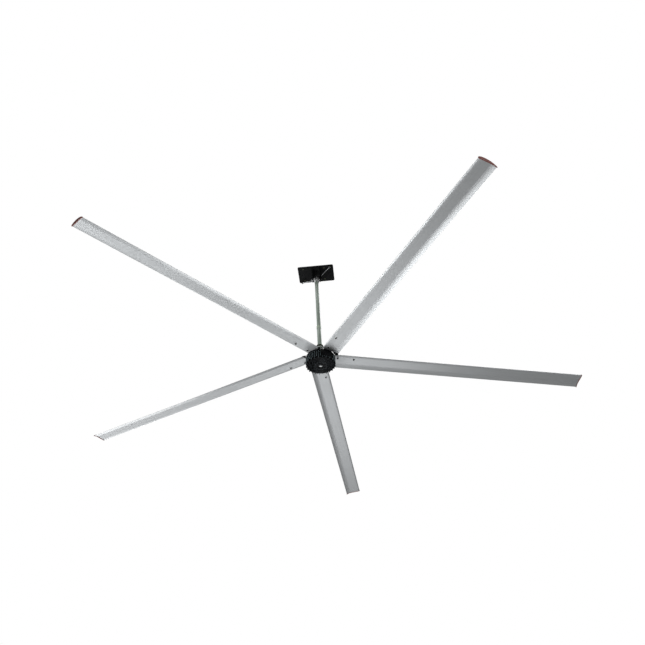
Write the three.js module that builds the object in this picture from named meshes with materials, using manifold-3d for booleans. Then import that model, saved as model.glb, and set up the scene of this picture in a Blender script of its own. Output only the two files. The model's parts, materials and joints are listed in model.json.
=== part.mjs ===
// A very large, slow ceiling fan: five hollow airfoil blades on a finned outer-rotor motor, hung by a
// tube from a clevis under a ceiling plate. Millimetres, +Z up, origin at the middle of the plate's top.
import * as THREE from 'three';
import { mergeVertices } from 'three/addons/utils/BufferGeometryUtils.js';
import Module from 'manifold-3d';

const wasm = await Module();
wasm.setup();

// ---------------------------------------------------------------- driving dimensions, mm and degrees
const GAP = 0.3; // left between pieces that touch

const BLADE_COUNT = 5;
const TIP_RADIUS = 3650; // to the outer face of an end cap
const ROOT_RADIUS = 178; // to the inner end of a blade
const FIRST_BLADE_ANGLE = 85.6; // from +X, anticlockwise seen from above
const CHORD = 222;
const LEADING_EDGE = -55; // the airfoil's front, ahead of the blade's radial line
const BLADE_PITCH = 7.2; // trailing edge down
const BLADE_DROOP = 1.6; // tip down
const BLADE_WALL = 2.2;
const AIRFOIL_THICKNESS = 0.15; // of the chord
const AIRFOIL_CAMBER = 0.05; // of the chord
const CAMBER_PEAK = 0.4; // of the chord
const TRAILING_EDGE_THICKNESS = 2.8;
const FLAP_START = 0.69; // of the chord, where the tail begins to bend down
const FLAP_DROP = 15; // of the trailing edge
const FLAP_KINK = 0.4; // share of that drop which goes straight down from the start
const CAVITY_START = 0.035; // of the chord
const CAVITY_END = 0.735; // of the chord
const CAP_THICKNESS = 10;
const CAP_LIP = 4; // how far an end cap stands proud of the airfoil
const CAP_TOP_LIP = 8; // and at the middle of its upper side
const CAP_PLUG_DEPTH = 25;
const CAP_PLUG_CLEARANCE = 0.5;

const TIP_DROP = 1632; // from the plate's top down to the plane of the blade tips
const ROOT_HEIGHT = 104; // of the blades' line at the axis, above that plane

const ARM_WIDTH = 106;
const ARM_MIDDLE = 23; // behind the radial line
const ARM_THICKNESS = 12;
const ARM_INNER_RADIUS = 96;
const ARM_BEND_START = 147;
const ARM_OUTER_RADIUS = 520;
const TONGUE_LIFT = 6.7; // the tongue's middle above the chord line
const BLADE_BOLT_RADII = [236, 450];
const BLADE_BOLT_RADIUS = 6;
const BLADE_BOLT_SEAT = 15; // reach of its head over the skin
const BLADE_BOLT_CLEARANCE = 0.8;

const ROTOR_RADIUS = 197; // over the fins
const WALL_RADIUS = 184; // between the fins
const CAVITY_RADIUS = 176;
const RIM_RADIUS = 193;
const RIM_BOTTOM = 58;
const WALL_TOP = 69;
const FLOOR_BOTTOM = -46;
const FLOOR_TOP = -36;
const FIN_COUNT = 48;
const FIN_THICKNESS = 5;
const FIN_DEPTH = 9; // below the floor
const FIN_INNER_RADIUS = 62;
const PAD_START = -82; // a smooth pad on the wall, from and to these angles
const PAD_END = -33;

const SHAFT_RADIUS = 25;
const SHAFT_BORE = 11;
const BEARING_RADIUS = 45;
const COVER_TOP = 95;
const COVER_FLAT_RADIUS = 146; // where its top begins to slope to the rim
const COVER_BOSS_TOP = 150;

const UPPER_ROD_RADIUS = 26;
const LOWER_ROD_RADIUS = 28;
const ROD_WALL = 5;
const ROD_JOINT_HEIGHT = 604; // above the tip plane
const FLANGE_BOTTOM = 252; // above the tip plane
const FLANGE_TOP = 306;
const FLANGE_RADIUS = 42.5;
const FLANGE_FLOOR = 22; // thickness under the rod
const FLANGE_BOLT_CIRCLE = 33.5;
const FLANGE_BOLT = { radius: 4, depth: 14, length: 24 };

const PLATE_LENGTH = 514;
const PLATE_WIDTH = 330;
const PLATE_THICKNESS = 10;
const PLATE_CORNER = 20;
const ANCHOR_SPACING = [298, 232];
const ANCHOR_MIDDLE = [-28, -8]; // the four anchors sit off the plate's middle

const PIVOT_DROP = 124; // from the plate's top down to the pivot bolt
const PIVOT_RADIUS = 12;
const CHEEK_INNER = 49; // from the rod's axis to a cheek
const CHEEK_THICKNESS = 8;
const CHEEK_TOP_HALF = 140;
const CHEEK_NOSE_RADIUS = 38;

const CABLE_RADIUS = 4;
const CABLE_LOOP = 12;
const LOOP_WIRE = 3.5;
const FERRULE = { radius: 7.5, length: 25 };
const EYE_RADIUS = 11;
const EYE_WIRE = 4;
const CHEEK_EYE = new THREE.Vector3(72, -42, -95);
const PLATE_EYE = new THREE.Vector3(214, -146, -27);

const SMALL_SIDES = 16; // sides of a small round piece
const ROUND_SIDES = 24;
const WIDE_SIDES = 32;
const BOLT_SIDES = 8;
const HOLE_SIDES = 12;
const HEXAGON = 6;
const TORUS_SIDES = [6, 12];
const OVERLAP = 1; // how deep a joined form reaches into the next, and a cutting tool past a face

// ---------------------------------------------------------------- materials
const finish = (color, roughness, metalness) =>
  new THREE.MeshStandardMaterial({ color, roughness, metalness });
const bladeAluminium = finish(0xb4b7b6, 0.42, 0.75);
const capBrown = finish(0x6b3a33, 0.55, 0.0);
const motorBlack = finish(0x1b1d20, 0.5, 0.3);
const armBlack = finish(0x1a1b1d, 0.55, 0.4);
const plateBlack = finish(0x15191d, 0.6, 0.3);
const rodPaint = finish(0x93a095, 0.4, 0.2);
const flangeOlive = finish(0x4d5340, 0.55, 0.3);
const bareSteel = finish(0xb9bdbd, 0.35, 0.9);
const zincSteel = finish(0xa9adb0, 0.4, 0.9);
const cableSteel = finish(0xb5b8ba, 0.4, 0.9);
const castAluminium = finish(0x8f9294, 0.5, 0.8);
const laminationSteel = finish(0x55585c, 0.6, 0.7);
const copper = finish(0xa4582c, 0.5, 0.8);
const magnetGrey = finish(0x3b3d41, 0.45, 0.7);
const rubber = finish(0x101010, 0.8, 0.0);

// ---------------------------------------------------------------- solids
const degrees = THREE.MathUtils.degToRad;

// A closed mesh as a manifold: shared corners merged, and the flat triangles at a lathe's poles left out.
function solid(geometry) {
  const bare = geometry.clone();
  bare.deleteAttribute('normal');
  bare.deleteAttribute('uv');
  const merged = mergeVertices(bare, 1e-4);
  const corners = merged.index.array;
  const kept = [];
  for (let i = 0; i < corners.length; i += 3) {
    const [a, b, c] = corners.slice(i, i + 3);
    if (a !== b && b !== c && c !== a) kept.push(a, b, c);
  }
  const vertProperties = Float32Array.from(merged.attributes.position.array);
  return new wasm.Manifold(new wasm.Mesh({ numProp: 3, vertProperties, triVerts: Uint32Array.from(kept) }));
}

function geometryOf(manifold) {
  const { vertProperties, triVerts } = manifold.getMesh();
  const geometry = new THREE.BufferGeometry();
  geometry.setAttribute('position', new THREE.BufferAttribute(vertProperties, 3));
  geometry.setIndex(new THREE.BufferAttribute(triVerts, 1));
  return geometry;
}

const joined = (...pieces) => geometryOf(pieces.map(solid).reduce((sum, piece) => sum.add(piece)));

function cutBy(base, ...tools) {
  return geometryOf(tools.map(solid).reduce((rest, tool) => rest.subtract(tool), solid(base)));
}

// A profile of [radius, height] pairs, anticlockwise with the radius to the right, turned about Z.
function turned(profile, sides = ROUND_SIDES) {
  const points = profile.map(([radius, height]) => new THREE.Vector2(radius, height));
  const onAxis = profile[0][0] === 0 && profile.at(-1)[0] === 0;
  if (!onAxis) points.push(points[0].clone());
  return new THREE.LatheGeometry(points, sides).rotateX(Math.PI / 2);
}

const rod = (radius, bottom, top, sides = SMALL_SIDES) =>
  turned([[0, bottom], [radius, bottom], [radius, top], [0, top]], sides);

const ring = (outer, inner, bottom, top, sides = ROUND_SIDES) =>
  turned([[inner, bottom], [outer, bottom], [outer, top], [inner, top]], sides);

// An outline in X and Y, pulled up along Z.
function pulled(shape, bottom, top, curveSegments = 6) {
  const settings = { depth: top - bottom, bevelEnabled: false, curveSegments };
  return new THREE.ExtrudeGeometry(shape, settings).translate(0, 0, bottom);
}

const polygon = (points) => new THREE.Shape(points.map(([x, y]) => new THREE.Vector2(x, y)));

function roundedRectangle(length, width, corner) {
  const [x, y] = [length / 2, width / 2];
  const shape = new THREE.Shape();
  shape.moveTo(-x + corner, -y);
  shape.lineTo(x - corner, -y);
  shape.absarc(x - corner, -y + corner, corner, -Math.PI / 2, 0);
  shape.absarc(x - corner, y - corner, corner, 0, Math.PI / 2);
  shape.absarc(-x + corner, y - corner, corner, Math.PI / 2, Math.PI);
  shape.absarc(-x + corner, -y + corner, corner, Math.PI, 1.5 * Math.PI);
  return shape;
}

function box(low, high) {
  const size = high.map((value, i) => value - low[i]);
  const middle = high.map((value, i) => (value + low[i]) / 2);
  return new THREE.BoxGeometry(...size).translate(...middle);
}

// Four-cornered sections joined along their length and closed at both ends.
function lofted(sections) {
  const index = [];
  for (let s = 0; s < sections.length - 1; s++) {
    for (let k = 0; k < 4; k++) {
      const [a, b] = [4 * s + k, 4 * s + ((k + 1) % 4)];
      index.push(a, b, b + 4, a, b + 4, a + 4);
    }
  }
  const last = 4 * (sections.length - 1);
  index.push(0, 2, 1, 0, 3, 2, last, last + 1, last + 2, last, last + 2, last + 3);
  const geometry = new THREE.BufferGeometry().setFromPoints(sections.flat());
  geometry.setAttribute('uv', new THREE.BufferAttribute(new Float32Array(sections.length * 8), 2));
  geometry.setIndex(index);
  geometry.computeVertexNormals();
  return geometry;
}

// A bolt along Z: hexagon head below the seat at height 0, shank up to its end, and a nut if it has one.
function bolt(radius, shankTop, nutBottom = null) {
  const headHeight = radius * 1.5;
  const corner = radius * 2;
  const pieces = [
    rod(radius, -OVERLAP, shankTop, BOLT_SIDES),
    rod(corner, -headHeight, 0, HEXAGON),
  ];
  if (nutBottom !== null) pieces.push(rod(corner, nutBottom, nutBottom + headHeight, HEXAGON));
  return joined(...pieces);
}

function place(group, name, geometry, material) {
  const mesh = new THREE.Mesh(geometry, material);
  mesh.name = name;
  group.add(mesh);
  return mesh;
}

// ---------------------------------------------------------------- ceiling plate, bracket and cables
const fan = new THREE.Group();
const ceiling = new THREE.Group();
fan.add(ceiling);

const ANCHOR_RADIUS = 6.5;
const BORE_CLEARANCE = 0.4; // of a bore over its bolt's radius
const EYE_SHANK = 5;
const EYE_SHANK_TOP = -2;
const EYE_COLLAR = { radius: 10, height: 5 };
const CHEEK_OUTER = CHEEK_INNER + CHEEK_THICKNESS;
const CHEEK_EDGE = 14; // height of a cheek's two ends
const WEB_THICKNESS = 8;
const PIVOT_WASHER = { radius: 22, thickness: 4 };
const PIVOT_HEX = { corner: 20.5, headHeight: 12, nutHeight: 13 };
const PIVOT_END = 20; // reach past the far cheek
const bothSides = [['near_right', 0], ['far_left', Math.PI]];

function anchorPlaces() {
  const places = [];
  for (const sideX of [-1, 1]) {
    for (const sideY of [-1, 1]) {
      places.push([
        ANCHOR_MIDDLE[0] + (sideX * ANCHOR_SPACING[0]) / 2,
        ANCHOR_MIDDLE[1] + (sideY * ANCHOR_SPACING[1]) / 2,
      ]);
    }
  }
  return places;
}

function ceilingPlate() {
  const slab = pulled(roundedRectangle(PLATE_LENGTH, PLATE_WIDTH, PLATE_CORNER), -PLATE_THICKNESS, 0);
  const holes = anchorPlaces().map(([x, y]) =>
    rod(ANCHOR_RADIUS + BORE_CLEARANCE, -PLATE_THICKNESS - OVERLAP, OVERLAP, HOLE_SIDES).translate(x, y, 0));
  for (const [, turn] of bothSides) {
    const radius = EYE_SHANK + BORE_CLEARANCE;
    const eyeHole = rod(radius, -PLATE_THICKNESS - OVERLAP, EYE_SHANK_TOP + BORE_CLEARANCE, BOLT_SIDES);
    holes.push(eyeHole.translate(PLATE_EYE.x, PLATE_EYE.y, 0).rotateZ(turn));
  }
  return cutBy(slab, ...holes);
}

// A ring of wire whose plane holds the cable's direction and the eye's own stem.
function eyeRing(centre, stem, along) {
  const normal = new THREE.Vector3().crossVectors(stem, along).normalize();
  const side = new THREE.Vector3().crossVectors(normal, along);
  const frame = new THREE.Matrix4().makeBasis(along, side, normal).setPosition(centre);
  return new THREE.TorusGeometry(EYE_RADIUS, EYE_WIRE, ...TORUS_SIDES).applyMatrix4(frame);
}

const cableSpan = new THREE.Vector3().subVectors(PLATE_EYE, CHEEK_EYE);
const cableLength = cableSpan.length();
const cableDirection = cableSpan.clone().normalize();
const axisX = new THREE.Vector3(1, 0, 0);
const axisZ = new THREE.Vector3(0, 0, 1);

const pivotBore = (reach) => rod(PIVOT_RADIUS + BORE_CLEARANCE, -reach, reach).rotateY(Math.PI / 2);

function clevisBracket() {
  const top = -PLATE_THICKNESS - GAP;
  const cheek = new THREE.Shape();
  cheek.moveTo(-CHEEK_TOP_HALF, top);
  cheek.lineTo(-CHEEK_TOP_HALF, top - CHEEK_EDGE);
  cheek.lineTo(-CHEEK_NOSE_RADIUS, -PIVOT_DROP);
  cheek.absarc(0, -PIVOT_DROP, CHEEK_NOSE_RADIUS, Math.PI, 2 * Math.PI);
  cheek.lineTo(CHEEK_TOP_HALF, top - CHEEK_EDGE);
  cheek.lineTo(CHEEK_TOP_HALF, top);
  const upright = new THREE.Matrix4().makeBasis(new THREE.Vector3(0, 1, 0), axisZ, axisX);
  const cheeks = [-CHEEK_OUTER, CHEEK_INNER].map((x) =>
    pulled(cheek, 0, CHEEK_THICKNESS).applyMatrix4(upright).translate(x, 0, 0));
  const web = box([-CHEEK_OUTER, -CHEEK_TOP_HALF, top - WEB_THICKNESS], [CHEEK_OUTER, CHEEK_TOP_HALF, top]);
  const eyes = bothSides.map(([, turn]) => {
    const stem = rod(EYE_SHANK, CHEEK_OUTER - OVERLAP, CHEEK_EYE.x - EYE_RADIUS + OVERLAP, BOLT_SIDES);
    stem.rotateY(Math.PI / 2).translate(0, CHEEK_EYE.y, CHEEK_EYE.z);
    return joined(stem, eyeRing(CHEEK_EYE, axisX, cableDirection)).rotateZ(turn);
  });
  const bore = pivotBore(CHEEK_OUTER + OVERLAP).translate(0, 0, -PIVOT_DROP);
  return cutBy(joined(...cheeks, web, ...eyes), bore);
}

function eyeBolt() {
  const seat = -PLATE_THICKNESS - GAP;
  const shank = rod(EYE_SHANK, seat - OVERLAP, EYE_SHANK_TOP, BOLT_SIDES);
  const collar = rod(EYE_COLLAR.radius, seat - EYE_COLLAR.height, seat, HOLE_SIDES);
  const standing = [shank, collar].map((piece) => piece.translate(PLATE_EYE.x, PLATE_EYE.y, 0));
  return joined(...standing, eyeRing(PLATE_EYE, axisZ, cableDirection));
}

// A wire rope with a pressed ferrule and a loop at each end, each loop linked through its eye.
function safetyCable() {
  const loopAt = (eye, stem, forward) => {
    const normal = new THREE.Vector3().crossVectors(stem, cableDirection).normalize();
    const side = new THREE.Vector3().crossVectors(cableDirection, normal);
    const centre = eye.clone().addScaledVector(cableDirection, forward * CABLE_LOOP);
    const frame = new THREE.Matrix4().makeBasis(cableDirection, normal, side).setPosition(centre);
    return new THREE.TorusGeometry(CABLE_LOOP, LOOP_WIRE, ...TORUS_SIDES).applyMatrix4(frame);
  };
  const turnToSpan = new THREE.Quaternion().setFromUnitVectors(axisZ, cableDirection);
  const along = new THREE.Matrix4().compose(CHEEK_EYE, turnToSpan, new THREE.Vector3(1, 1, 1));
  const ferruleStart = 2 * CABLE_LOOP - OVERLAP;
  const ferruleEnd = ferruleStart + FERRULE.length;
  const straight = [
    rod(CABLE_RADIUS, ferruleStart, cableLength - ferruleStart, BOLT_SIDES),
    rod(FERRULE.radius, ferruleStart, ferruleEnd, BOLT_SIDES),
    rod(FERRULE.radius, cableLength - ferruleEnd, cableLength - ferruleStart, BOLT_SIDES),
  ].map((piece) => piece.applyMatrix4(along));
  return joined(...straight, loopAt(CHEEK_EYE, axisX, 1), loopAt(PLATE_EYE, axisZ, -1));
}

place(ceiling, 'ceiling_plate', ceilingPlate(), plateBlack);
anchorPlaces().forEach(([x, y], i) => {
  const anchor = place(ceiling, `anchor_bolt_${i + 1}`, bolt(ANCHOR_RADIUS, PLATE_THICKNESS), zincSteel);
  anchor.position.set(x, y, -PLATE_THICKNESS - GAP);
});
place(ceiling, 'clevis_bracket', clevisBracket(), plateBlack);
for (const [side, turn] of bothSides) {
  place(ceiling, `eye_bolt_${side}`, eyeBolt(), zincSteel).rotation.z = turn;
  place(ceiling, `safety_cable_${side}`, safetyCable(), cableSteel).rotation.z = turn;
}

const pivotSeat = CHEEK_OUTER + PIVOT_WASHER.thickness;
const pivotBolt = joined(
  rod(PIVOT_RADIUS, -pivotSeat - OVERLAP, CHEEK_OUTER + PIVOT_END),
  rod(PIVOT_WASHER.radius, -pivotSeat - GAP, -CHEEK_OUTER - GAP),
  rod(PIVOT_HEX.corner, -pivotSeat - PIVOT_HEX.headHeight, -pivotSeat, HEXAGON),
);
place(ceiling, 'pivot_bolt', pivotBolt.rotateY(Math.PI / 2), bareSteel).position.z = -PIVOT_DROP;

const pivotNut = joined(
  rod(PIVOT_WASHER.radius, CHEEK_OUTER + GAP, pivotSeat + GAP),
  rod(PIVOT_HEX.corner, pivotSeat, pivotSeat + PIVOT_HEX.nutHeight, HEXAGON),
).rotateY(Math.PI / 2);
const boredNut = cutBy(pivotNut, pivotBore(pivotSeat + PIVOT_HEX.nutHeight + OVERLAP));
place(ceiling, 'pivot_nut', boredNut, zincSteel).position.z = -PIVOT_DROP;

// ---------------------------------------------------------------- rod and stator, hung on the pivot bolt
// Heights in this group are above the plane of the blade tips.
const hanger = new THREE.Group();
hanger.position.z = -TIP_DROP;
fan.add(hanger);

const PIVOT_HEIGHT = TIP_DROP - PIVOT_DROP;
const HEAD_HALF_WIDTH = 35;
const HEAD_HALF_DEPTH = 34;
const HEAD_BOTTOM = PIVOT_HEIGHT - 58;
const HEAD_COLLAR_TOP = PIVOT_HEIGHT - 36;
const ROD_TOP = PIVOT_HEIGHT - 30;
const GLAND_HEIGHT = TIP_DROP - 245;
const GLAND = { thread: 8, body: 9.5, hex: 12, bore: 4, inner: 22, hexEnd: 36, outer: 52 };
const JOINT_RING = { radius: 31.5, bottom: 584, top: 625 };

function rodHead() {
  const lug = polygon([
    [-HEAD_HALF_DEPTH, -40],
    [HEAD_HALF_DEPTH, -40],
    [HEAD_HALF_DEPTH, 22],
    [26, 38],
    [14, 46],
    [-14, 46],
    [-26, 38],
    [-HEAD_HALF_DEPTH, 22],
  ]);
  const upright = new THREE.Matrix4().makeBasis(new THREE.Vector3(0, 1, 0), axisZ, axisX);
  const block = pulled(lug, -HEAD_HALF_WIDTH, HEAD_HALF_WIDTH).applyMatrix4(upright);
  block.translate(0, 0, PIVOT_HEIGHT);
  const collar = rod(HEAD_HALF_WIDTH, HEAD_BOTTOM, HEAD_COLLAR_TOP, ROUND_SIDES);
  const crossBore = pivotBore(HEAD_HALF_WIDTH + OVERLAP).translate(0, 0, PIVOT_HEIGHT);
  const rodBore = rod(UPPER_ROD_RADIUS + GAP, HEAD_BOTTOM - OVERLAP, ROD_TOP + GAP, ROUND_SIDES);
  return cutBy(joined(block, collar), crossBore, rodBore);
}

function upperRod() {
  const tube = ring(UPPER_ROD_RADIUS, UPPER_ROD_RADIUS - ROD_WALL, ROD_JOINT_HEIGHT + GAP, ROD_TOP);
  const glandHole = rod(GLAND.thread + 2 * GAP, 0, UPPER_ROD_RADIUS + OVERLAP, HOLE_SIDES);
  return cutBy(tube, glandHole.rotateX(-Math.PI / 2).translate(0, 0, GLAND_HEIGHT));
}

// A gland along +Y with a bore for the supply lead.
function cableGland() {
  const hexStart = UPPER_ROD_RADIUS + 2 * GAP;
  const body = joined(
    rod(GLAND.thread, GLAND.inner, hexStart + OVERLAP, HOLE_SIDES),
    rod(GLAND.hex, hexStart, GLAND.hexEnd, HEXAGON),
    rod(GLAND.body, GLAND.hexEnd - OVERLAP, GLAND.outer, HOLE_SIDES),
  );
  const gland = cutBy(body, rod(GLAND.bore, GLAND.inner - OVERLAP, GLAND.outer + OVERLAP, BOLT_SIDES));
  return gland.rotateX(-Math.PI / 2).translate(0, 0, GLAND_HEIGHT);
}

const jointRing = turned([
  [LOWER_ROD_RADIUS + GAP, JOINT_RING.bottom],
  [JOINT_RING.radius, JOINT_RING.bottom],
  [JOINT_RING.radius, JOINT_RING.top],
  [UPPER_ROD_RADIUS + GAP, JOINT_RING.top],
  [UPPER_ROD_RADIUS + GAP, ROD_JOINT_HEIGHT],
  [LOWER_ROD_RADIUS + GAP, ROD_JOINT_HEIGHT],
]);

function flangeBoltPlaces() {
  return [45, 135, 225, 315].map((angle) => [
    FLANGE_BOLT_CIRCLE * Math.cos(degrees(angle)),
    FLANGE_BOLT_CIRCLE * Math.sin(degrees(angle)),
  ]);
}

const flangeBoltHoles = (bottom, top) =>
  flangeBoltPlaces().map(([x, y]) =>
    rod(FLANGE_BOLT.radius + BORE_CLEARANCE, bottom, top, BOLT_SIDES).translate(x, y, 0));

function rodFlange() {
  const body = turned([
    [SHAFT_BORE + 1, FLANGE_BOTTOM],
    [FLANGE_RADIUS, FLANGE_BOTTOM],
    [FLANGE_RADIUS, FLANGE_BOTTOM + FLANGE_FLOOR - 4],
    [LOWER_ROD_RADIUS + 9, FLANGE_BOTTOM + FLANGE_FLOOR + 4],
    [LOWER_ROD_RADIUS + 5, FLANGE_TOP],
    [LOWER_ROD_RADIUS + GAP, FLANGE_TOP],
    [LOWER_ROD_RADIUS + GAP, FLANGE_BOTTOM + FLANGE_FLOOR],
    [SHAFT_BORE + 1, FLANGE_BOTTOM + FLANGE_FLOOR],
  ]);
  return cutBy(body, ...flangeBoltHoles(FLANGE_BOTTOM - OVERLAP, FLANGE_BOTTOM + FLANGE_BOLT.depth));
}

const SHAFT_BOTTOM = -34;
const SHAFT_FLANGE_BOTTOM = 240;
const SHAFT_FLANGE_RADIUS = 40;
const LEAD_HOLE = { radius: 6, height: 62 };
const LOCK_NUT = { radius: 33, top: -20 };

function statorShaft() {
  const body = turned([
    [SHAFT_BORE, SHAFT_BOTTOM],
    [SHAFT_RADIUS, SHAFT_BOTTOM],
    [SHAFT_RADIUS, SHAFT_FLANGE_BOTTOM],
    [SHAFT_FLANGE_RADIUS, SHAFT_FLANGE_BOTTOM],
    [SHAFT_FLANGE_RADIUS, FLANGE_BOTTOM - GAP],
    [SHAFT_BORE, FLANGE_BOTTOM - GAP],
  ]);
  const leadHole = rod(LEAD_HOLE.radius, 0, SHAFT_RADIUS + OVERLAP, BOLT_SIDES).rotateX(-Math.PI / 2);
  const boltHoles = flangeBoltHoles(SHAFT_FLANGE_BOTTOM - OVERLAP, FLANGE_BOTTOM);
  return cutBy(body, leadHole.translate(0, 0, LEAD_HOLE.height), ...boltHoles);
}

const CORE_BOTTOM = -20;
const CORE_TOP = 40;
const CORE_RADIUS = 151;
const CORE_BORE = 90;
const SLOT_COUNT = 18;
const SLOT_DEPTH_RADIUS = 108;
const SLOT_WIDTH = 18;
const WINDING_CLEARANCE = 1;
const WINDING_END = 11; // how far the end turns stand over the core
const WINDING_MARGIN = 6; // from the winding out to the core's teeth
const CARRIER = { radius: 80, hub: 40, bottom: 8, webTop: 28, hubTop: 46 };
const CORE_FIT = 1.2; // of the carrier in the core

function statorCore() {
  const outline = new THREE.Shape();
  for (let slot = 0; slot < SLOT_COUNT; slot++) {
    const middle = (slot * 2 * Math.PI) / SLOT_COUNT;
    const mouth = Math.asin(SLOT_WIDTH / 2 / CORE_RADIUS);
    const nextMouth = middle + (2 * Math.PI) / SLOT_COUNT - mouth;
    const out = new THREE.Vector2(Math.cos(middle), Math.sin(middle));
    const side = new THREE.Vector2(-out.y, out.x).multiplyScalar(SLOT_WIDTH / 2);
    const deep = out.clone().multiplyScalar(SLOT_DEPTH_RADIUS);
    outline.lineTo(CORE_RADIUS * Math.cos(middle - mouth), CORE_RADIUS * Math.sin(middle - mouth));
    outline.lineTo(deep.x - side.x, deep.y - side.y);
    outline.lineTo(deep.x + side.x, deep.y + side.y);
    for (const angle of [middle + mouth, (middle + mouth + nextMouth) / 2]) {
      outline.lineTo(CORE_RADIUS * Math.cos(angle), CORE_RADIUS * Math.sin(angle));
    }
  }
  outline.curves.shift();
  outline.closePath();
  const bore = new THREE.Path();
  bore.absarc(0, 0, CORE_BORE, 0, 2 * Math.PI, true);
  outline.holes.push(bore);
  return pulled(outline, CORE_BOTTOM, CORE_TOP, 24);
}

function statorWinding() {
  const inner = SLOT_DEPTH_RADIUS + WINDING_CLEARANCE;
  const outer = CORE_RADIUS - WINDING_MARGIN;
  const half = SLOT_WIDTH / 2 - WINDING_CLEARANCE;
  const [low, high] = [CORE_BOTTOM - WINDING_CLEARANCE, CORE_TOP + WINDING_CLEARANCE];
  const pieces = [
    ring(outer, inner, high, high + WINDING_END, SLOT_COUNT),
    ring(outer, inner, low - WINDING_END, low, SLOT_COUNT),
  ];
  for (let slot = 0; slot < SLOT_COUNT; slot++) {
    const leg = box([inner + OVERLAP, -half, low - OVERLAP], [outer - 2 * OVERLAP, half, high + OVERLAP]);
    pieces.push(leg.rotateZ((slot * 2 * Math.PI) / SLOT_COUNT));
  }
  return joined(...pieces);
}

const statorCarrier = turned([
  [SHAFT_RADIUS + GAP, CARRIER.bottom],
  [CARRIER.radius, CARRIER.bottom],
  [CARRIER.radius, CORE_BOTTOM],
  [CORE_BORE - CORE_FIT, CORE_BOTTOM],
  [CORE_BORE - CORE_FIT, CORE_TOP],
  [CARRIER.radius, CORE_TOP],
  [CARRIER.radius, CARRIER.webTop],
  [CARRIER.hub, CARRIER.webTop],
  [CARRIER.hub, CARRIER.hubTop],
  [SHAFT_RADIUS + GAP, CARRIER.hubTop],
]);

place(hanger, 'rod_head', rodHead(), bareSteel);
place(hanger, 'upper_rod', upperRod(), rodPaint);
place(hanger, 'cable_gland', cableGland(), rubber);
place(hanger, 'joint_ring', jointRing, rodPaint);
const lowerRodBottom = FLANGE_BOTTOM + FLANGE_FLOOR + GAP;
const lowerRod = ring(LOWER_ROD_RADIUS, LOWER_ROD_RADIUS - ROD_WALL, lowerRodBottom, ROD_JOINT_HEIGHT - GAP);
place(hanger, 'lower_rod', lowerRod, rodPaint);
place(hanger, 'rod_flange', rodFlange(), flangeOlive);
flangeBoltPlaces().forEach(([x, y], i) => {
  const shape = bolt(FLANGE_BOLT.radius, FLANGE_BOLT.length);
  place(hanger, `flange_bolt_${i + 1}`, shape, zincSteel).position.set(x, y, SHAFT_FLANGE_BOTTOM - GAP);
});
place(hanger, 'stator_shaft', statorShaft(), bareSteel);
place(hanger, 'stator_carrier', statorCarrier, castAluminium);
place(hanger, 'stator_core', statorCore(), laminationSteel);
place(hanger, 'stator_winding', statorWinding(), copper);
const lockNut = ring(LOCK_NUT.radius, SHAFT_RADIUS + GAP, SHAFT_BOTTOM + OVERLAP, LOCK_NUT.top);
place(hanger, 'shaft_lock_nut', lockNut, zincSteel);

// ---------------------------------------------------------------- rotor
// Heights in this group too are above the plane of the blade tips.
const rotor = new THREE.Group();
rotor.position.z = -TIP_DROP;
fan.add(rotor);

const LOWER_BEARING = [-19, 1];
const UPPER_BEARING = [112, 134];
const SHORT_FIN_TOP = -24; // under the pad
const FIN_ROOT = 2; // how deep a fin stands in the bowl
const BEARING_SEAT = { inner: 36, outer: 56, lip: 3 };
const BOSS_COLLAR = { outer: 58, inner: 50, height: 8 };
const BOSS_SPIGOT = 9.6;
const BOSS_CAP = { radius: 28, face: 20, edge: 12, depth: 17 };
const COVER_BOTTOM = 82;
const COVER_EDGE_TOP = 84;
const COVER_BORE = 38;
const COVER_BOSS = { foot: 68, shoulder: 62, top: 60, shoulderHeight: 14, lip: 6 };
const YOKE = { inner: 164, bottom: -25, top: 45 };
const MAGNETS = { outer: 162.9, inner: 152.6, bottom: -22, top: 42 };

// One cooling fin: along the floor from near the middle, round the corner and up the wall.
function finOutline(reachesUpWall) {
  const bottom = FLOOR_BOTTOM - FIN_DEPTH;
  const top = reachesUpWall ? RIM_BOTTOM + 3 : SHORT_FIN_TOP;
  return polygon([
    [FIN_INNER_RADIUS, FLOOR_BOTTOM + FIN_ROOT],
    [FIN_INNER_RADIUS + 6, bottom],
    [ROTOR_RADIUS - 9, bottom],
    [ROTOR_RADIUS, bottom + 9],
    [ROTOR_RADIUS, top],
    [WALL_RADIUS - 3, top],
    [WALL_RADIUS - 3, FLOOR_BOTTOM + FIN_ROOT],
  ]);
}

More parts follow.
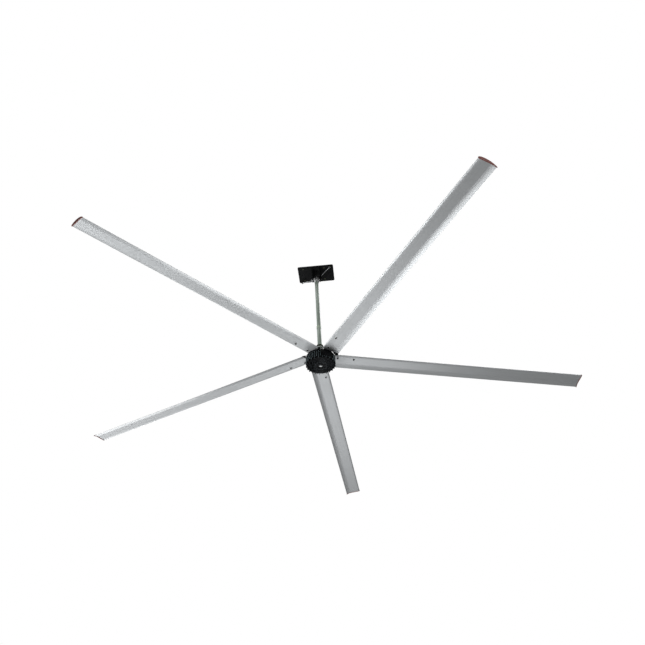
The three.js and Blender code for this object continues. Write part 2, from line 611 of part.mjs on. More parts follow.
function rotorHousing() {
  const bowl = turned([
    [0, FLOOR_BOTTOM],
    [WALL_RADIUS - 4, FLOOR_BOTTOM],
    [WALL_RADIUS, FLOOR_BOTTOM + 4],
    [WALL_RADIUS, RIM_BOTTOM],
    [RIM_RADIUS, RIM_BOTTOM + 2],
    [RIM_RADIUS, WALL_TOP],
    [CAVITY_RADIUS, WALL_TOP],
    [CAVITY_RADIUS, FLOOR_TOP],
    [0, FLOOR_TOP],
  ], FIN_COUNT);
  const bearingSeat = turned([
    [BEARING_SEAT.inner, FLOOR_TOP - OVERLAP],
    [BEARING_SEAT.outer, FLOOR_TOP - OVERLAP],
    [BEARING_SEAT.outer, LOWER_BEARING[1] + BEARING_SEAT.lip],
    [BEARING_RADIUS + GAP, LOWER_BEARING[1] + BEARING_SEAT.lip],
    [BEARING_RADIUS + GAP, LOWER_BEARING[0] - GAP],
    [BEARING_SEAT.inner, LOWER_BEARING[0] - GAP],
  ]);
  const collarBottom = FLOOR_BOTTOM - BOSS_COLLAR.height;
  const bossCollar = ring(BOSS_COLLAR.outer, BOSS_COLLAR.inner, collarBottom, FLOOR_BOTTOM + OVERLAP);
  const step = 360 / FIN_COUNT;
  const fins = [];
  for (let i = 0; i < FIN_COUNT; i++) {
    const angle = -180 + (i + 0.5) * step;
    const onPad = angle > PAD_START && angle < PAD_END;
    const fin = pulled(finOutline(!onPad), -FIN_THICKNESS / 2, FIN_THICKNESS / 2).rotateX(Math.PI / 2);
    fins.push(fin.rotateZ(degrees(angle)));
  }
  const holeRadius = BOSS_SPIGOT + BORE_CLEARANCE;
  const bossHole = rod(holeRadius, FLOOR_BOTTOM - OVERLAP, FLOOR_TOP + OVERLAP, SMALL_SIDES);
  return cutBy(joined(bowl, bearingSeat, bossCollar, pad(), ...fins), bossHole);
}

// The smooth pad on the wall, where the fins stop short.
function pad() {
  const [start, end] = [degrees(PAD_START), degrees(PAD_END)];
  const shape = new THREE.Shape();
  shape.absarc(0, 0, ROTOR_RADIUS - 2, start, end, false);
  shape.absarc(0, 0, WALL_RADIUS - 4, end, start, true);
  return pulled(shape, SHORT_FIN_TOP, RIM_BOTTOM + 3, 7);
}

const hubCover = turned([
  [SHAFT_RADIUS + 2, COVER_BOSS_TOP - COVER_BOSS.lip],
  [BEARING_RADIUS + GAP, COVER_BOSS_TOP - COVER_BOSS.lip],
  [BEARING_RADIUS + GAP, UPPER_BEARING[0] - GAP],
  [COVER_BORE, UPPER_BEARING[0] - GAP],
  [COVER_BORE, COVER_BOTTOM],
  [CAVITY_RADIUS, COVER_BOTTOM],
  [CAVITY_RADIUS, WALL_TOP + GAP],
  [RIM_RADIUS, WALL_TOP + GAP],
  [RIM_RADIUS, COVER_EDGE_TOP],
  [COVER_FLAT_RADIUS, COVER_TOP],
  [COVER_BOSS.foot, COVER_TOP],
  [COVER_BOSS.shoulder, COVER_TOP + COVER_BOSS.shoulderHeight],
  [COVER_BOSS.top, COVER_BOSS_TOP],
  [SHAFT_RADIUS + 2, COVER_BOSS_TOP],
]);

const bossCap = turned([
  [0, FLOOR_BOTTOM - BOSS_CAP.depth],
  [BOSS_CAP.face, FLOOR_BOTTOM - BOSS_CAP.depth],
  [BOSS_CAP.radius, FLOOR_BOTTOM - BOSS_CAP.edge],
  [BOSS_CAP.radius, FLOOR_BOTTOM - GAP],
  [BOSS_SPIGOT, FLOOR_BOTTOM - GAP],
  [BOSS_SPIGOT, FLOOR_TOP - 1],
  [0, FLOOR_TOP - 1],
], SMALL_SIDES);

place(rotor, 'rotor_housing', rotorHousing(), motorBlack);
const yoke = ring(CAVITY_RADIUS - OVERLAP, YOKE.inner, YOKE.bottom, YOKE.top, WIDE_SIDES);
place(rotor, 'rotor_yoke', yoke, laminationSteel);
const magnets = ring(MAGNETS.outer, MAGNETS.inner, MAGNETS.bottom, MAGNETS.top, WIDE_SIDES);
place(rotor, 'magnet_ring', magnets, magnetGrey);
place(rotor, 'lower_bearing', ring(BEARING_RADIUS, SHAFT_RADIUS + GAP, ...LOWER_BEARING), bareSteel);
place(rotor, 'upper_bearing', ring(BEARING_RADIUS, SHAFT_RADIUS + GAP, ...UPPER_BEARING), bareSteel);
const sealTop = COVER_BOSS_TOP - COVER_BOSS.lip - GAP;
const shaftSeal = ring(BEARING_RADIUS - OVERLAP, SHAFT_RADIUS + 2 * GAP, UPPER_BEARING[1] + GAP, sealTop);
place(rotor, 'shaft_seal', shaftSeal, rubber);
place(rotor, 'hub_cover', hubCover, motorBlack);
place(rotor, 'boss_cap', bossCap, bareSteel);

// ---------------------------------------------------------------- blades
// In a blade's own frame X runs out along its radial line, Y back along the chord and Z up.
// The airfoil is a four-digit section: a camber line of two parabolas and a half thickness either side.
function camber(x) {
  const p = CAMBER_PEAK;
  if (x < p) return (AIRFOIL_CAMBER / p ** 2) * (2 * p * x - x * x);
  return (AIRFOIL_CAMBER / (1 - p) ** 2) * (1 - 2 * p + 2 * p * x - x * x);
}

function halfThickness(x) {
  const section = 0.2969 * Math.sqrt(x) - 0.126 * x - 0.3516 * x ** 2 + 0.2843 * x ** 3 - 0.1036 * x ** 4;
  return 5 * AIRFOIL_THICKNESS * section * CHORD + (TRAILING_EDGE_THICKNESS / 2) * x;
}

// The camber line in millimetres, with the tail bent down, steeper and steeper towards its edge.
function meanLine(x) {
  const flap = Math.max(0, (x - FLAP_START) / (1 - FLAP_START));
  return camber(x) * CHORD - FLAP_DROP * (FLAP_KINK * flap + (1 - FLAP_KINK) * flap ** 2);
}

const upperSkin = (x) => meanLine(x) + halfThickness(x);
const lowerSkin = (x) => meanLine(x) - halfThickness(x);

const alongChord = (x) => LEADING_EDGE + x * CHORD;

// Fractions of the chord, closer together towards the start.
function spread(from, to, count) {
  const share = (i) => 1 - Math.cos((Math.PI * i) / (2 * count));
  return Array.from({ length: count + 1 }, (_, i) => from + (to - from) * share(i));
}

function airfoilOutline() {
  const front = spread(0, FLAP_START, 7);
  const flap = [1 / 3, 2 / 3, 1].map((part) => FLAP_START + part * (1 - FLAP_START));
  const stations = [...front, ...flap];
  const top = stations.map((x) => [alongChord(x), upperSkin(x)]).reverse();
  const bottom = stations.slice(1).map((x) => [alongChord(x), lowerSkin(x)]);
  return [...top, ...bottom];
}

function cavityOutline(inset) {
  const stations = spread(CAVITY_START, CAVITY_END, 6);
  const top = stations.map((x) => [alongChord(x), upperSkin(x) - BLADE_WALL - inset]).reverse();
  const bottom = stations.map((x) => [alongChord(x), lowerSkin(x) + BLADE_WALL + inset]);
  return [...top, ...bottom];
}

const chordToBlade = new THREE.Matrix4().makeBasis(new THREE.Vector3(0, 1, 0), axisZ, axisX);
const BLADE_END = TIP_RADIUS - CAP_THICKNESS - GAP;

const bladeBoltHole = (radius) =>
  rod(BLADE_BOLT_RADIUS + BLADE_BOLT_CLEARANCE, -CHORD / 2, CHORD / 2, BOLT_SIDES).translate(radius, 0, 0);

function blade() {
  const section = polygon(airfoilOutline());
  section.holes.push(new THREE.Path(polygon(cavityOutline(0)).getPoints().reverse()));
  const skin = pulled(section, ROOT_RADIUS, BLADE_END).applyMatrix4(chordToBlade);
  return cutBy(skin, ...BLADE_BOLT_RADII.map(bladeBoltHole));
}

// The airfoil's outline moved out along its normals: a little all round, more above its middle.
function capOutline() {
  const corners = airfoilOutline().map(([y, z]) => new THREE.Vector2(y, z));
  return corners.map((corner, i) => {
    const forward = corners[(i + 1) % corners.length].clone().sub(corner).normalize();
    const backward = corner.clone().sub(corners.at(i - 1)).normalize();
    const tangent = forward.clone().add(backward).normalize();
    const x = (corner.x - LEADING_EDGE) / CHORD;
    const crown = i <= corners.length / 2 ? 4 * x * (1 - x) * (CAP_TOP_LIP - CAP_LIP) : 0;
    const lip = (CAP_LIP + crown) / Math.max(tangent.dot(forward), 0.5);
    return [corner.x + tangent.y * lip, corner.y - tangent.x * lip];
  });
}

function endCap() {
  const plate = pulled(polygon(capOutline()), BLADE_END + GAP, TIP_RADIUS);
  const plugOutline = cavityOutline(CAP_PLUG_CLEARANCE).map(([y, z]) =>
    [y + (y < alongChord(0.3) ? 2 : -2) * CAP_PLUG_CLEARANCE, z]);
  const plug = pulled(polygon(plugOutline), BLADE_END - CAP_PLUG_DEPTH, BLADE_END + GAP + OVERLAP);
  return joined(plate, plug).applyMatrix4(chordToBlade);
}

function bladeBolt() {
  const seats = [-BLADE_BOLT_SEAT, BLADE_BOLT_SEAT].map((y) => (y - LEADING_EDGE) / CHORD);
  const headSeat = Math.min(...seats.map(lowerSkin)) - 0.5;
  const nutSeat = Math.max(...seats.map(upperSkin)) + 0.6;
  const grip = nutSeat - headSeat;
  return bolt(BLADE_BOLT_RADIUS, grip + 14, grip).translate(0, 0, headSeat);
}

const bladeFrame = new THREE.Matrix4()
  .makeTranslation(0, 0, ROOT_HEIGHT)
  .multiply(new THREE.Matrix4().makeRotationY(degrees(BLADE_DROOP)))
  .multiply(new THREE.Matrix4().makeRotationX(degrees(-BLADE_PITCH)));

// A flat bar: its foot lies on the hub cover, then it twists into the blade's plane and runs on inside.
function bladeArm() {
  const [front, back] = [ARM_MIDDLE - ARM_WIDTH / 2, ARM_MIDDLE + ARM_WIDTH / 2];
  const section = (radius, bottom, top) => [
    new THREE.Vector3(radius, front, bottom),
    new THREE.Vector3(radius, back, bottom),
    new THREE.Vector3(radius, back, top),
    new THREE.Vector3(radius, front, top),
  ];
  const foot = (radius) => section(radius, COVER_TOP + GAP, COVER_TOP + GAP + ARM_THICKNESS);
  const tongue = (radius) =>
    section(radius, TONGUE_LIFT - ARM_THICKNESS / 2, TONGUE_LIFT + ARM_THICKNESS / 2)
      .map((point) => point.applyMatrix4(bladeFrame));
  const bar = lofted([
    foot(ARM_INNER_RADIUS),
    foot(ARM_BEND_START),
    tongue(ROOT_RADIUS - 4),
    tongue(ARM_OUTER_RADIUS),
  ]);
  return cutBy(bar, ...BLADE_BOLT_RADII.map((radius) => bladeBoltHole(radius).applyMatrix4(bladeFrame)));
}

for (let i = 0; i < BLADE_COUNT; i++) {
  const spoke = new THREE.Group();
  spoke.rotation.z = degrees(FIRST_BLADE_ANGLE + (i * 360) / BLADE_COUNT);
  rotor.add(spoke);
  place(spoke, `blade_arm_${i + 1}`, bladeArm(), armBlack);
  const wing = new THREE.Group();
  wing.applyMatrix4(bladeFrame);
  spoke.add(wing);
  place(wing, `blade_${i + 1}`, blade(), bladeAluminium);
  place(wing, `end_cap_${i + 1}`, endCap(), capBrown);
  BLADE_BOLT_RADII.forEach((radius, k) => {
    const name = `blade_bolt_${i + 1}_${k === 0 ? 'inner' : 'outer'}`;
    place(wing, name, bladeBolt(), zincSteel).position.x = radius;
  });
}

export default fan;
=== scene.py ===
"""A very large ceiling fan seen from below: five long aluminium blades on a finned black motor.

Sizes are in millimetres until a piece is made. A shape is a grid of points with its rows along one
parameter and its columns round the other, or a few such grids, and it is closed all round. Columns run
anticlockwise as seen from where the rows lead to, so that faces look outwards.
"""
import json
from math import pi, radians

import bpy
import numpy as np
from mathutils import Matrix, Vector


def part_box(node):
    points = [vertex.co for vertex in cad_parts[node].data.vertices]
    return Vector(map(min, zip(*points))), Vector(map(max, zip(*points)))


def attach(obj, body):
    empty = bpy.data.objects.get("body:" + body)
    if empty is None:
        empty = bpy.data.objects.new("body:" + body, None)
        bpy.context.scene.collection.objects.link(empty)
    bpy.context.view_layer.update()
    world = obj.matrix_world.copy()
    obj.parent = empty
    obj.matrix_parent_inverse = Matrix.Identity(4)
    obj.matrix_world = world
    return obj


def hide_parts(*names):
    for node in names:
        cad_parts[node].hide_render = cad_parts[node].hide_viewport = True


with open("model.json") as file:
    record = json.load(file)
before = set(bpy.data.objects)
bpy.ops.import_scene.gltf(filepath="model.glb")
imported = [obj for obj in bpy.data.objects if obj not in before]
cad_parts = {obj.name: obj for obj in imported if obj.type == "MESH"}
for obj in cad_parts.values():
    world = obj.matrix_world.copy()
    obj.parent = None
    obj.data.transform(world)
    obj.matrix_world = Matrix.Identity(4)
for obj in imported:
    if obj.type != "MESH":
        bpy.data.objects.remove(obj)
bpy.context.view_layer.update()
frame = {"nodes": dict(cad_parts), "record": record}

MM = 0.001

# ---- driving sizes, mm and degrees
BLADE_COUNT = 5
FIRST_BLADE_ANGLE = 85.6
BLADE_PITCH = 7.2
BLADE_DROOP = 1.6
TIP_DROP = 1632  # from the ceiling to the plane of the blades' tips
ROOT_HEIGHT = 104  # of a blade's root, above that plane
TIP_RADIUS = 3650
ROOT_RADIUS = 178
CHORD = 222
LEADING_EDGE = -55  # from the blade's own axis
AIRFOIL_THICKNESS = 0.15  # this and the four after it are shares of the chord
AIRFOIL_CAMBER = 0.05
CAMBER_PEAK = 0.4
FLAP_START = 0.69
CAVITY = (0.035, 0.735)
TRAILING_EDGE_THICKNESS = 2.8
FLAP_DROP = 15
FLAP_KINK = 0.4
BLADE_WALL = 2.2
CAP_THICKNESS = 10
CAP_LIP = 4
CAP_TOP_LIP = 8
GAP = 0.3

ARM_WIDTH = 106
ARM_MIDDLE = 23
ARM_THICKNESS = 12
ARM_INNER_RADIUS = 96
ARM_BEND_START = 147
ARM_OUTER_RADIUS = 520
TONGUE_LIFT = 6.7
BLADE_BOLT_RADII = (236, 450)

ROTOR_RADIUS = 197
WALL_RADIUS = 184
CAVITY_RADIUS = 176
RIM_RADIUS = 193
COVER_FLAT_RADIUS = 146
COVER_FLAT = 95  # the level of the cover's flat top, above the tips' plane
COVER_RIM = 14.7  # the thickness of the cover's rim
FLOOR_BOTTOM = -46 - TIP_DROP
FLOOR_TOP = -36 - TIP_DROP
RIM_BOTTOM = 58 - TIP_DROP
WALL_TOP = 69 - TIP_DROP
FIN_COUNT = 48
FIN_DEPTH = 9
FIN_INNER = 62
FIN_THICKNESS = 5
SHORT_FIN_TOP = -24 - TIP_DROP
PAD = (-82, -33)  # where the wall is smooth and its fins are short
NOTCH_RADII = np.arange(84, 180, 15)
NOTCH_WIDTH = 16
NOTCH_DEPTH = 7
BEARING_RADIUS = 45

PLATE_EYE = np.array([214, -146, -27.0])
CHEEK_EYE = np.array([72, -42, -95.0])
EYE_RADIUS = 11
EYE_WIRE = 4
CABLE_LOOP = 12
CABLE_RADIUS = 4
PIVOT_DROP = 124


def corners(node):
    """A node's lowest and highest corner, in millimetres."""
    return [np.array(corner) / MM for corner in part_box(node)]


def middle_of(node):
    low, high = corners(node)
    return (low + high) / 2


def turned_size(node):
    """Radius, bottom and top of a node that is turned about Z."""
    low, high = corners(node)
    return (high[0] - low[0]) / 2, low[2], high[2]


# ---- shapes as grids of points
def grid(points, wrap_rows=False, ends=False):
    """Four-sided faces between neighbouring rows and columns, and a flat face over each end."""
    rows, columns = points.shape[:2]
    index = np.arange(rows * columns).reshape(rows, columns)
    round_trip = np.hstack([index, index[:, :1]])
    if wrap_rows:
        round_trip = np.vstack([round_trip, round_trip[:1]])
    a, b = round_trip[:-1, :-1], round_trip[:-1, 1:]
    c, d = round_trip[1:, 1:], round_trip[1:, :-1]
    faces = np.stack([a, b, c, d], -1).reshape(-1, 4).tolist()
    if ends:
        faces += [index[0, ::-1].tolist(), index[-1].tolist()]
    return points.reshape(-1, 3), faces


def together(*shells):
    """Several shells as one list of points and faces."""
    points, faces, start = [], [], 0
    for shell_points, shell_faces in shells:
        points.append(shell_points)
        faces += [[corner + start for corner in face] for face in shell_faces]
        start += len(shell_points)
    return np.vstack(points), faces


def placed(points, matrix):
    return points @ matrix[:3, :3].T + matrix[:3, 3]


def moved(shell, matrix):
    points, faces = shell
    return placed(points, matrix), faces


def shift(x=0, y=0, z=0):
    return np.array(Matrix.Translation((x, y, z)))


def turn(angle, axis="Z"):
    return np.array(Matrix.Rotation(radians(angle), 4, axis))


def basis(x, y, z, place):
    """The frame with these unit axes at a place."""
    matrix = np.eye(4)
    matrix[:3, :3] = np.stack([x, y, z], 1)
    matrix[:3, 3] = place
    return matrix


def unit(vector):
    return vector / np.linalg.norm(vector, axis=-1, keepdims=True)


def circle(columns):
    """Angles in radians, evenly all the way round."""
    return np.arange(columns) * 2 * pi / columns


def half_steps(count):
    """Angles in degrees, evenly all the way round from half a step on."""
    return (np.arange(count) + 0.5) * 360 / count


def revolved(radius, angle, height):
    """The points (r cos a, r sin a, z) for rows of radius and height and columns of angle."""
    return np.stack(np.broadcast_arrays(radius * np.cos(angle), radius * np.sin(angle), height), -1)


def rectangle(x0, y0, x1, y1):
    return [(x0, y0), (x1, y0), (x1, y1), (x0, y1)]


def around(shell, angles):
    """Copies of a shell, turned about Z to these angles."""
    return together(*[moved(shell, turn(angle)) for angle in angles])


def eased(profile, reach, steps=4, closed=True):
    """Each corner gives way to a parabola that leaves its two sides at this reach from the corner.

    With start A, corner C and end B it is (1-s)^2 A + 2 s (1-s) C + s^2 B for s from 0 to 1.
    """
    corner = np.array(profile, float)
    reach = np.broadcast_to(np.asarray(reach, float), len(corner))[:, None]

    def leave(towards):
        side = np.roll(corner, towards, 0) - corner
        length = np.linalg.norm(side, axis=1, keepdims=True)
        return corner + side * np.minimum(reach / length, 0.45)

    s = np.linspace(0, 1, steps + 1)[None, :, None]
    start, end = leave(1)[:, None], leave(-1)[:, None]
    curve = (1 - s) ** 2 * start + 2 * s * (1 - s) * corner[:, None] + s ** 2 * end
    if closed:
        return curve.reshape(-1, 2)
    return np.vstack([corner[:1], curve[1:-1].reshape(-1, 2), corner[-1:]])


def lathe(profile, columns=96, hollow=False):
    """A profile of radius and height turned about Z: (r cos a, r sin a, z).

    A hollow one is a closed profile, anticlockwise; a solid one runs upwards and has flat ends.
    """
    radius, height = np.array(profile, float).T[:, :, None]
    return grid(revolved(radius, circle(columns), height), wrap_rows=hollow, ends=not hollow)


def spun(profile, reach, steps, columns, hollow=True):
    """A profile turned about Z once its corners are eased."""
    return lathe(eased(profile, reach, steps, hollow), columns, hollow)


def inset(outline, depth):
    """An anticlockwise outline moved inwards along the mean normal of each corner's two sides."""
    forward = unit(np.roll(outline, -1, 0) - outline)
    backward = unit(outline - np.roll(outline, 1, 0))
    tangent = unit(forward + backward)
    inwards = np.stack([-tangent[:, 1], tangent[:, 0]], 1)
    spread = np.maximum((tangent * forward).sum(1, keepdims=True), 0.5)
    return outline + inwards * depth / spread


def prism(outline, low, high, edge=1.0, steps=3):
    """An anticlockwise outline carried up from low to high, its two rims rounded with a quarter circle."""
    outline = np.array(outline, float)
    swing = np.linspace(0, pi / 2, steps + 1)
    depth = edge * (1 - np.sin(swing))
    rise = edge * (1 - np.cos(swing))
    rows = [(d, low + r) for d, r in zip(depth, rise)]
    rows += [(d, high - r) for d, r in zip(depth[::-1], rise[::-1])]
    points = [np.column_stack([inset(outline, d), np.full(len(outline), z)]) for d, z in rows]
    return grid(np.array(points), ends=True)


def carried(path, section, up, closed=False):
    """A section carried along a path: path + across * side + over * top, with side square to up."""
    path = np.array(path, float)
    if closed:
        along = unit(np.roll(path, -1, 0) - np.roll(path, 1, 0))
    else:
        along = unit(np.gradient(path, axis=0))
    side = unit(np.cross(np.broadcast_to(up, along.shape), along))
    top = np.cross(along, side)
    across, over = section
    points = path[:, None] + across[..., None] * side[:, None] + over[..., None] * top[:, None]
    return grid(points, wrap_rows=closed, ends=not closed)


def round_section(radius, columns):
    angle = circle(columns)
    return np.cos(angle)[None] * radius, np.sin(angle)[None] * radius


ROPE_COLUMNS = 36


def way_along(path):
    """The distance from the path's start to each of its points."""
    return np.concatenate([[0], np.cumsum(np.linalg.norm(np.diff(path, axis=0), axis=1))])


def rope_section(path, radius, lay=30):
    """Six strands laid round a core: r = R (0.86 + 0.14 |cos(3 (a - 2 pi s / lay))|) along the way s."""
    angle = circle(ROPE_COLUMNS)
    r = radius * (0.86 + 0.14 * np.abs(np.cos(3 * (angle - 2 * pi * way_along(path)[:, None] / lay))))
    return r * np.cos(angle), r * np.sin(angle)


def rope_map(path):
    """Along the rope and round it, as a map for its wires."""
    girth = CABLE_RADIUS * circle(ROPE_COLUMNS)
    return np.stack(np.meshgrid(way_along(path), girth, indexing="ij"), -1).reshape(-1, 2)


# ---- fasteners
HEX_FLATS = 3.2  # this and the three after it are in radii of the shank
HEAD_HEIGHT = 1.25
NUT_HEIGHT = 1.6
DISC_HEIGHT = 0.36


def hexagon(flats, low, high, chamfer_high=True):
    """A hexagon bar between two heights, its corners turned down at 30 degrees.

    r = min(f / 2 / cos(a mod 60 - 30), 0.475 f + d / tan 30) at the angle a and the depth d from a face.
    """
    angle = circle(48)
    flat_radius = flats / 2 / np.cos(angle % (pi / 3) - pi / 6)
    step = np.array([0, 0.25, 0.5, 0.75, 1]) * flats * 0.06
    height = np.concatenate([low + step, (high - step)[::-1]])
    depth = np.minimum(height - low, high - height if chamfer_high else flats)
    radius = np.minimum(flat_radius[None], 0.475 * flats + depth[:, None] / np.tan(pi / 6))
    return grid(revolved(radius, angle, height[:, None]), ends=True)


def thread(radius, low, high, pitch=None):
    """A screw thread: r = R - 0.6 p (1 - |2 frac(z / p - a / 2 pi) - 1|), worn to a point at its end."""
    pitch = pitch or radius * 0.28
    angle = circle(28)
    height = np.linspace(low, high, int((high - low) / pitch * 6) + 2)[:, None]
    phase = (height / pitch - angle / (2 * pi)) % 1
    end = np.minimum(1, (radius * 0.8 + high - height) / radius)
    radius = (radius - 0.6 * pitch * (1 - np.abs(2 * phase - 1))) * end
    return grid(revolved(radius, angle, height), ends=True)


def washer(outer, inner, low, high):
    return spun(rectangle(inner, low, outer, high), (high - low) * 0.2, 2, 48)


def hex_head(radius):
    """A bolt's head, under the washer that lies under height 0."""
    top = -radius * DISC_HEIGHT
    return hexagon(radius * HEX_FLATS, top - radius * HEAD_HEIGHT, top, chamfer_high=False)


def hex_bolt(radius, grip, reach=0, nut=True, wide=2.1, head=True):
    """A bolt along Z with its head under height 0, a washer each side, and a nut above its grip."""
    disc = radius * DISC_HEIGHT
    parts = [
        washer(radius * wide, radius * 0.98, -disc, 0),
        lathe([(radius, -disc - 0.5), (radius, grip + disc)], 32),
    ]
    if head:
        parts.append(hex_head(radius))
    if nut:
        top = grip + disc + radius * NUT_HEIGHT
        parts += [
            washer(radius * wide, radius * 0.98, grip, grip + disc),
            hexagon(radius * HEX_FLATS, grip + disc, top),
            thread(radius, grip + disc - 1, max(reach, top + radius * 0.5)),
        ]
    return together(*parts)


# ---- materials
class Value:
    """A number that varies over a surface. Python's operators add Math nodes."""

    def __init__(self, finish, socket):
        self.finish = finish
        self.socket = socket

    def math(self, operation, *others):
        return self.finish.node("ShaderNodeMath", {"operation": operation}, dict(enumerate(others)))

    def __add__(self, other):
        return self.math("ADD", self, other)

    __radd__ = __add__

    def __rsub__(self, other):
        return self.math("SUBTRACT", other, self)

    def __mul__(self, other):
        return self.math("MULTIPLY", self, other)

    __rmul__ = __mul__

    def sine(self):
        return self.math("SINE", self)

    def above(self, low, high):
        """0 below low, 1 above high, and straight between them."""
        return self.finish.node(
            "ShaderNodeMapRange",
            {"clamp": True},
            {"Value": self, "From Min": low, "From Max": high, "To Min": 0.0, "To Max": 1.0},
        )


class Finish:
    """A material being made. Values that don't vary go straight on its shader."""

    def __init__(self, name, **constants):
        self.material = bpy.data.materials.new(name)
        self.material.use_nodes = True
        self.tree = self.material.node_tree
        self.shader = self.tree.nodes["Principled BSDF"]
        for key, value in constants.items():
            self.shader.inputs[key.replace("_", " ").title().replace("Ior", "IOR")].default_value = value

    def node(self, kind, settings=None, sockets=None, output=0):
        """One node: its settings first, then its sockets' values or links."""
        made = self.tree.nodes.new(kind)
        for key, value in (settings or {}).items():
            setattr(made, key, value)
        for key, value in (sockets or {}).items():
            if isinstance(value, Value):
                self.tree.links.new(value.socket, made.inputs[key])
            else:
                made.inputs[key].default_value = value
        return Value(self, made.outputs[output])

    def feed(self, socket, value):
        self.tree.links.new(value.socket, self.shader.inputs[socket])

    def place(self, scale=(1, 1, 1), attribute=None):
        """Object coordinates in metres, or a piece's own map, stretched by a scale."""
        if attribute:
            source = self.node("ShaderNodeUVMap", {"uv_map": attribute})
        else:
            source = self.node("ShaderNodeTexCoord", output="Object")
        return self.node("ShaderNodeMapping", None, {"Vector": source, "Scale": scale})

    def noise(self, place, scale, detail=3.0, roughness=0.5):
        sockets = {"Vector": place, "Scale": scale, "Detail": detail, "Roughness": roughness}
        return self.node("ShaderNodeTexNoise", None, sockets)

    def waves(self, place, direction, scale):
        sockets = {"Vector": place, "Scale": scale}
        return self.node("ShaderNodeTexWave", {"bands_direction": direction}, sockets)

    def blend(self, amount, first, second):
        """A colour between two, by an amount from 0 to 1."""
        colours = [colour if isinstance(colour, Value) else (*colour, 1) for colour in (first, second)]
        sockets = {0: amount, 6: colours[0], 7: colours[1]}
        return self.node("ShaderNodeMix", {"data_type": "RGBA"}, sockets, output=2)

    def surface(self, colour, roughness, height, distance, strength):
        """The material, once its shader has this colour, roughness and bump."""
        self.feed("Base Color", colour)
        self.feed("Roughness", roughness)
        sockets = {"Height": height, "Distance": distance, "Strength": strength}
        self.feed("Normal", self.node("ShaderNodeBump", None, sockets))
        return self.material


def scaled(colour, factor):
    return tuple(min(1.0, channel * factor) for channel in colour)


def drawn_aluminium():
    """Extruded aluminium: fine draw lines along the blade, faint bands and a light film of dust."""
    finish = Finish("drawn_aluminium", metallic=0.55)
    grain = finish.noise(finish.place((1.5, 700, 1), "along"), 1.0, 2.0)
    bands = finish.noise(finish.place((0.25, 40, 1), "along"), 1.0, 3.0)
    film = finish.noise(finish.place((2.2, 6, 1), "along"), 1.0, 4.0, 0.6)
    clean = finish.blend(bands.above(0.3, 0.7), (0.475, 0.492, 0.505), (0.51, 0.528, 0.541))
    coat = finish.blend(film.above(0.5, 0.8) * 0.3, clean, (0.45, 0.46, 0.46))
    return finish.surface(coat, 0.33 + 0.08 * film + 0.05 * grain, bands, 0.00004, 0.3)


def moulded_plastic(name, colour, roughness=0.5, grain=0.35):
    """Moulded plastic with a fine spark-eroded grain and a little fading."""
    finish = Finish(name)
    place = finish.place()
    fade = finish.noise(place, 9.0, 3.0)
    skin = finish.blend(fade.above(0.35, 0.7), colour, scaled(colour, 1.35))
    texture = finish.noise(place, 1400.0, 2.0)
    return finish.surface(skin, roughness + 0.12 * texture, texture, 0.0002, grain)


def powder_coat(name, colour, roughness=0.48, rubbed=(0.02, 0.022, 0.02), painted_highlights=None):
    """Powder coat: an orange-peel skin, dust in soft patches, rubbed edges and a dull gloss.

    Painted highlights, if given, makes a share from 0 to 1 and the colour that the painted highlight there
    has.
    """
    finish = Finish(name, specular_ior_level=0.1)
    place = finish.place()
    peel = finish.noise(place, 420.0, 2.0)
    dust = finish.noise(place, 14.0, 4.0, 0.6)
    edge = finish.node("ShaderNodeNewGeometry", output="Pointiness").above(0.53, 0.6)
    body = finish.blend(dust.above(0.45, 0.8) * 0.4, colour, scaled(colour, 2.1))
    coat = finish.blend(edge * 0.5, body, rubbed)
    # painted highlights: lighter colours laid over masked parts of the coat for light caught there; the dust
    # noise varies their strength
    for share, grey in painted_highlights(finish) if painted_highlights else ():
        coat = finish.blend(share * (0.55 + 0.6 * dust), coat, grey)
    return finish.surface(coat, roughness + 0.16 * dust + 0.05 * peel, peel, 0.0003, 0.4)


def fin_edge_highlights(finish):
    """Painted highlights: light teal on the fins' outer edges, found by the radius, and lighter grey on their
    lower edges, by the height.
    """
    level = finish.place((1, 1, 0))
    radius = finish.node("ShaderNodeVectorMath", {"operation": "LENGTH"}, {0: level}, output=1)
    height = finish.node("ShaderNodeSeparateXYZ", None, {0: finish.place()}, output="Z")
    outer, lower = ROTOR_RADIUS, FLOOR_BOTTOM - FIN_DEPTH
    return (
        # painted highlight on the fins' outer edges, then painted highlight on their lower edges
        (radius.above((outer - 1.2) * MM, (outer - 0.4) * MM), (0.25, 0.31, 0.33)),
        (1 - height.above((lower + 0.2) * MM, (lower + 1.2) * MM), (0.075, 0.085, 0.092)),
    )


def satin_paint(name, colour, roughness=0.38):
    """Satin paint on a tube, with faint runs down it and a few dull patches."""
    finish = Finish(name, coat_weight=0.15, coat_roughness=0.25)
    place = finish.place()
    runs = finish.noise(finish.place((60, 60, 3)), 1.0, 3.0)
    patch = finish.noise(place, 12.0, 4.0)
    body = finish.blend(runs.above(0.3, 0.75), colour, scaled(colour, 1.16))
    coat = finish.blend(patch.above(0.55, 0.8) * 0.4, body, scaled(colour, 0.78))
    return finish.surface(coat, roughness + 0.14 * patch, finish.noise(place, 300.0, 2.0), 0.0002, 0.25)


def turned_steel(name, colour=(0.56, 0.57, 0.57), roughness=0.26, metallic=1.0):
    """Machined steel: fine tool rings across its axis and a slight stain."""
    finish = Finish(name, metallic=metallic)
    tool = finish.noise(finish.place((1, 1, 700)), 1.0, 2.0)
    stain = finish.noise(finish.place(), 30.0, 4.0, 0.6)
    steel = finish.blend(stain.above(0.5, 0.75) * 0.5, colour, scaled(colour, 0.72))
    return finish.surface(steel, roughness + 0.12 * tool + 0.12 * stain, tool, 0.0001, 0.3)


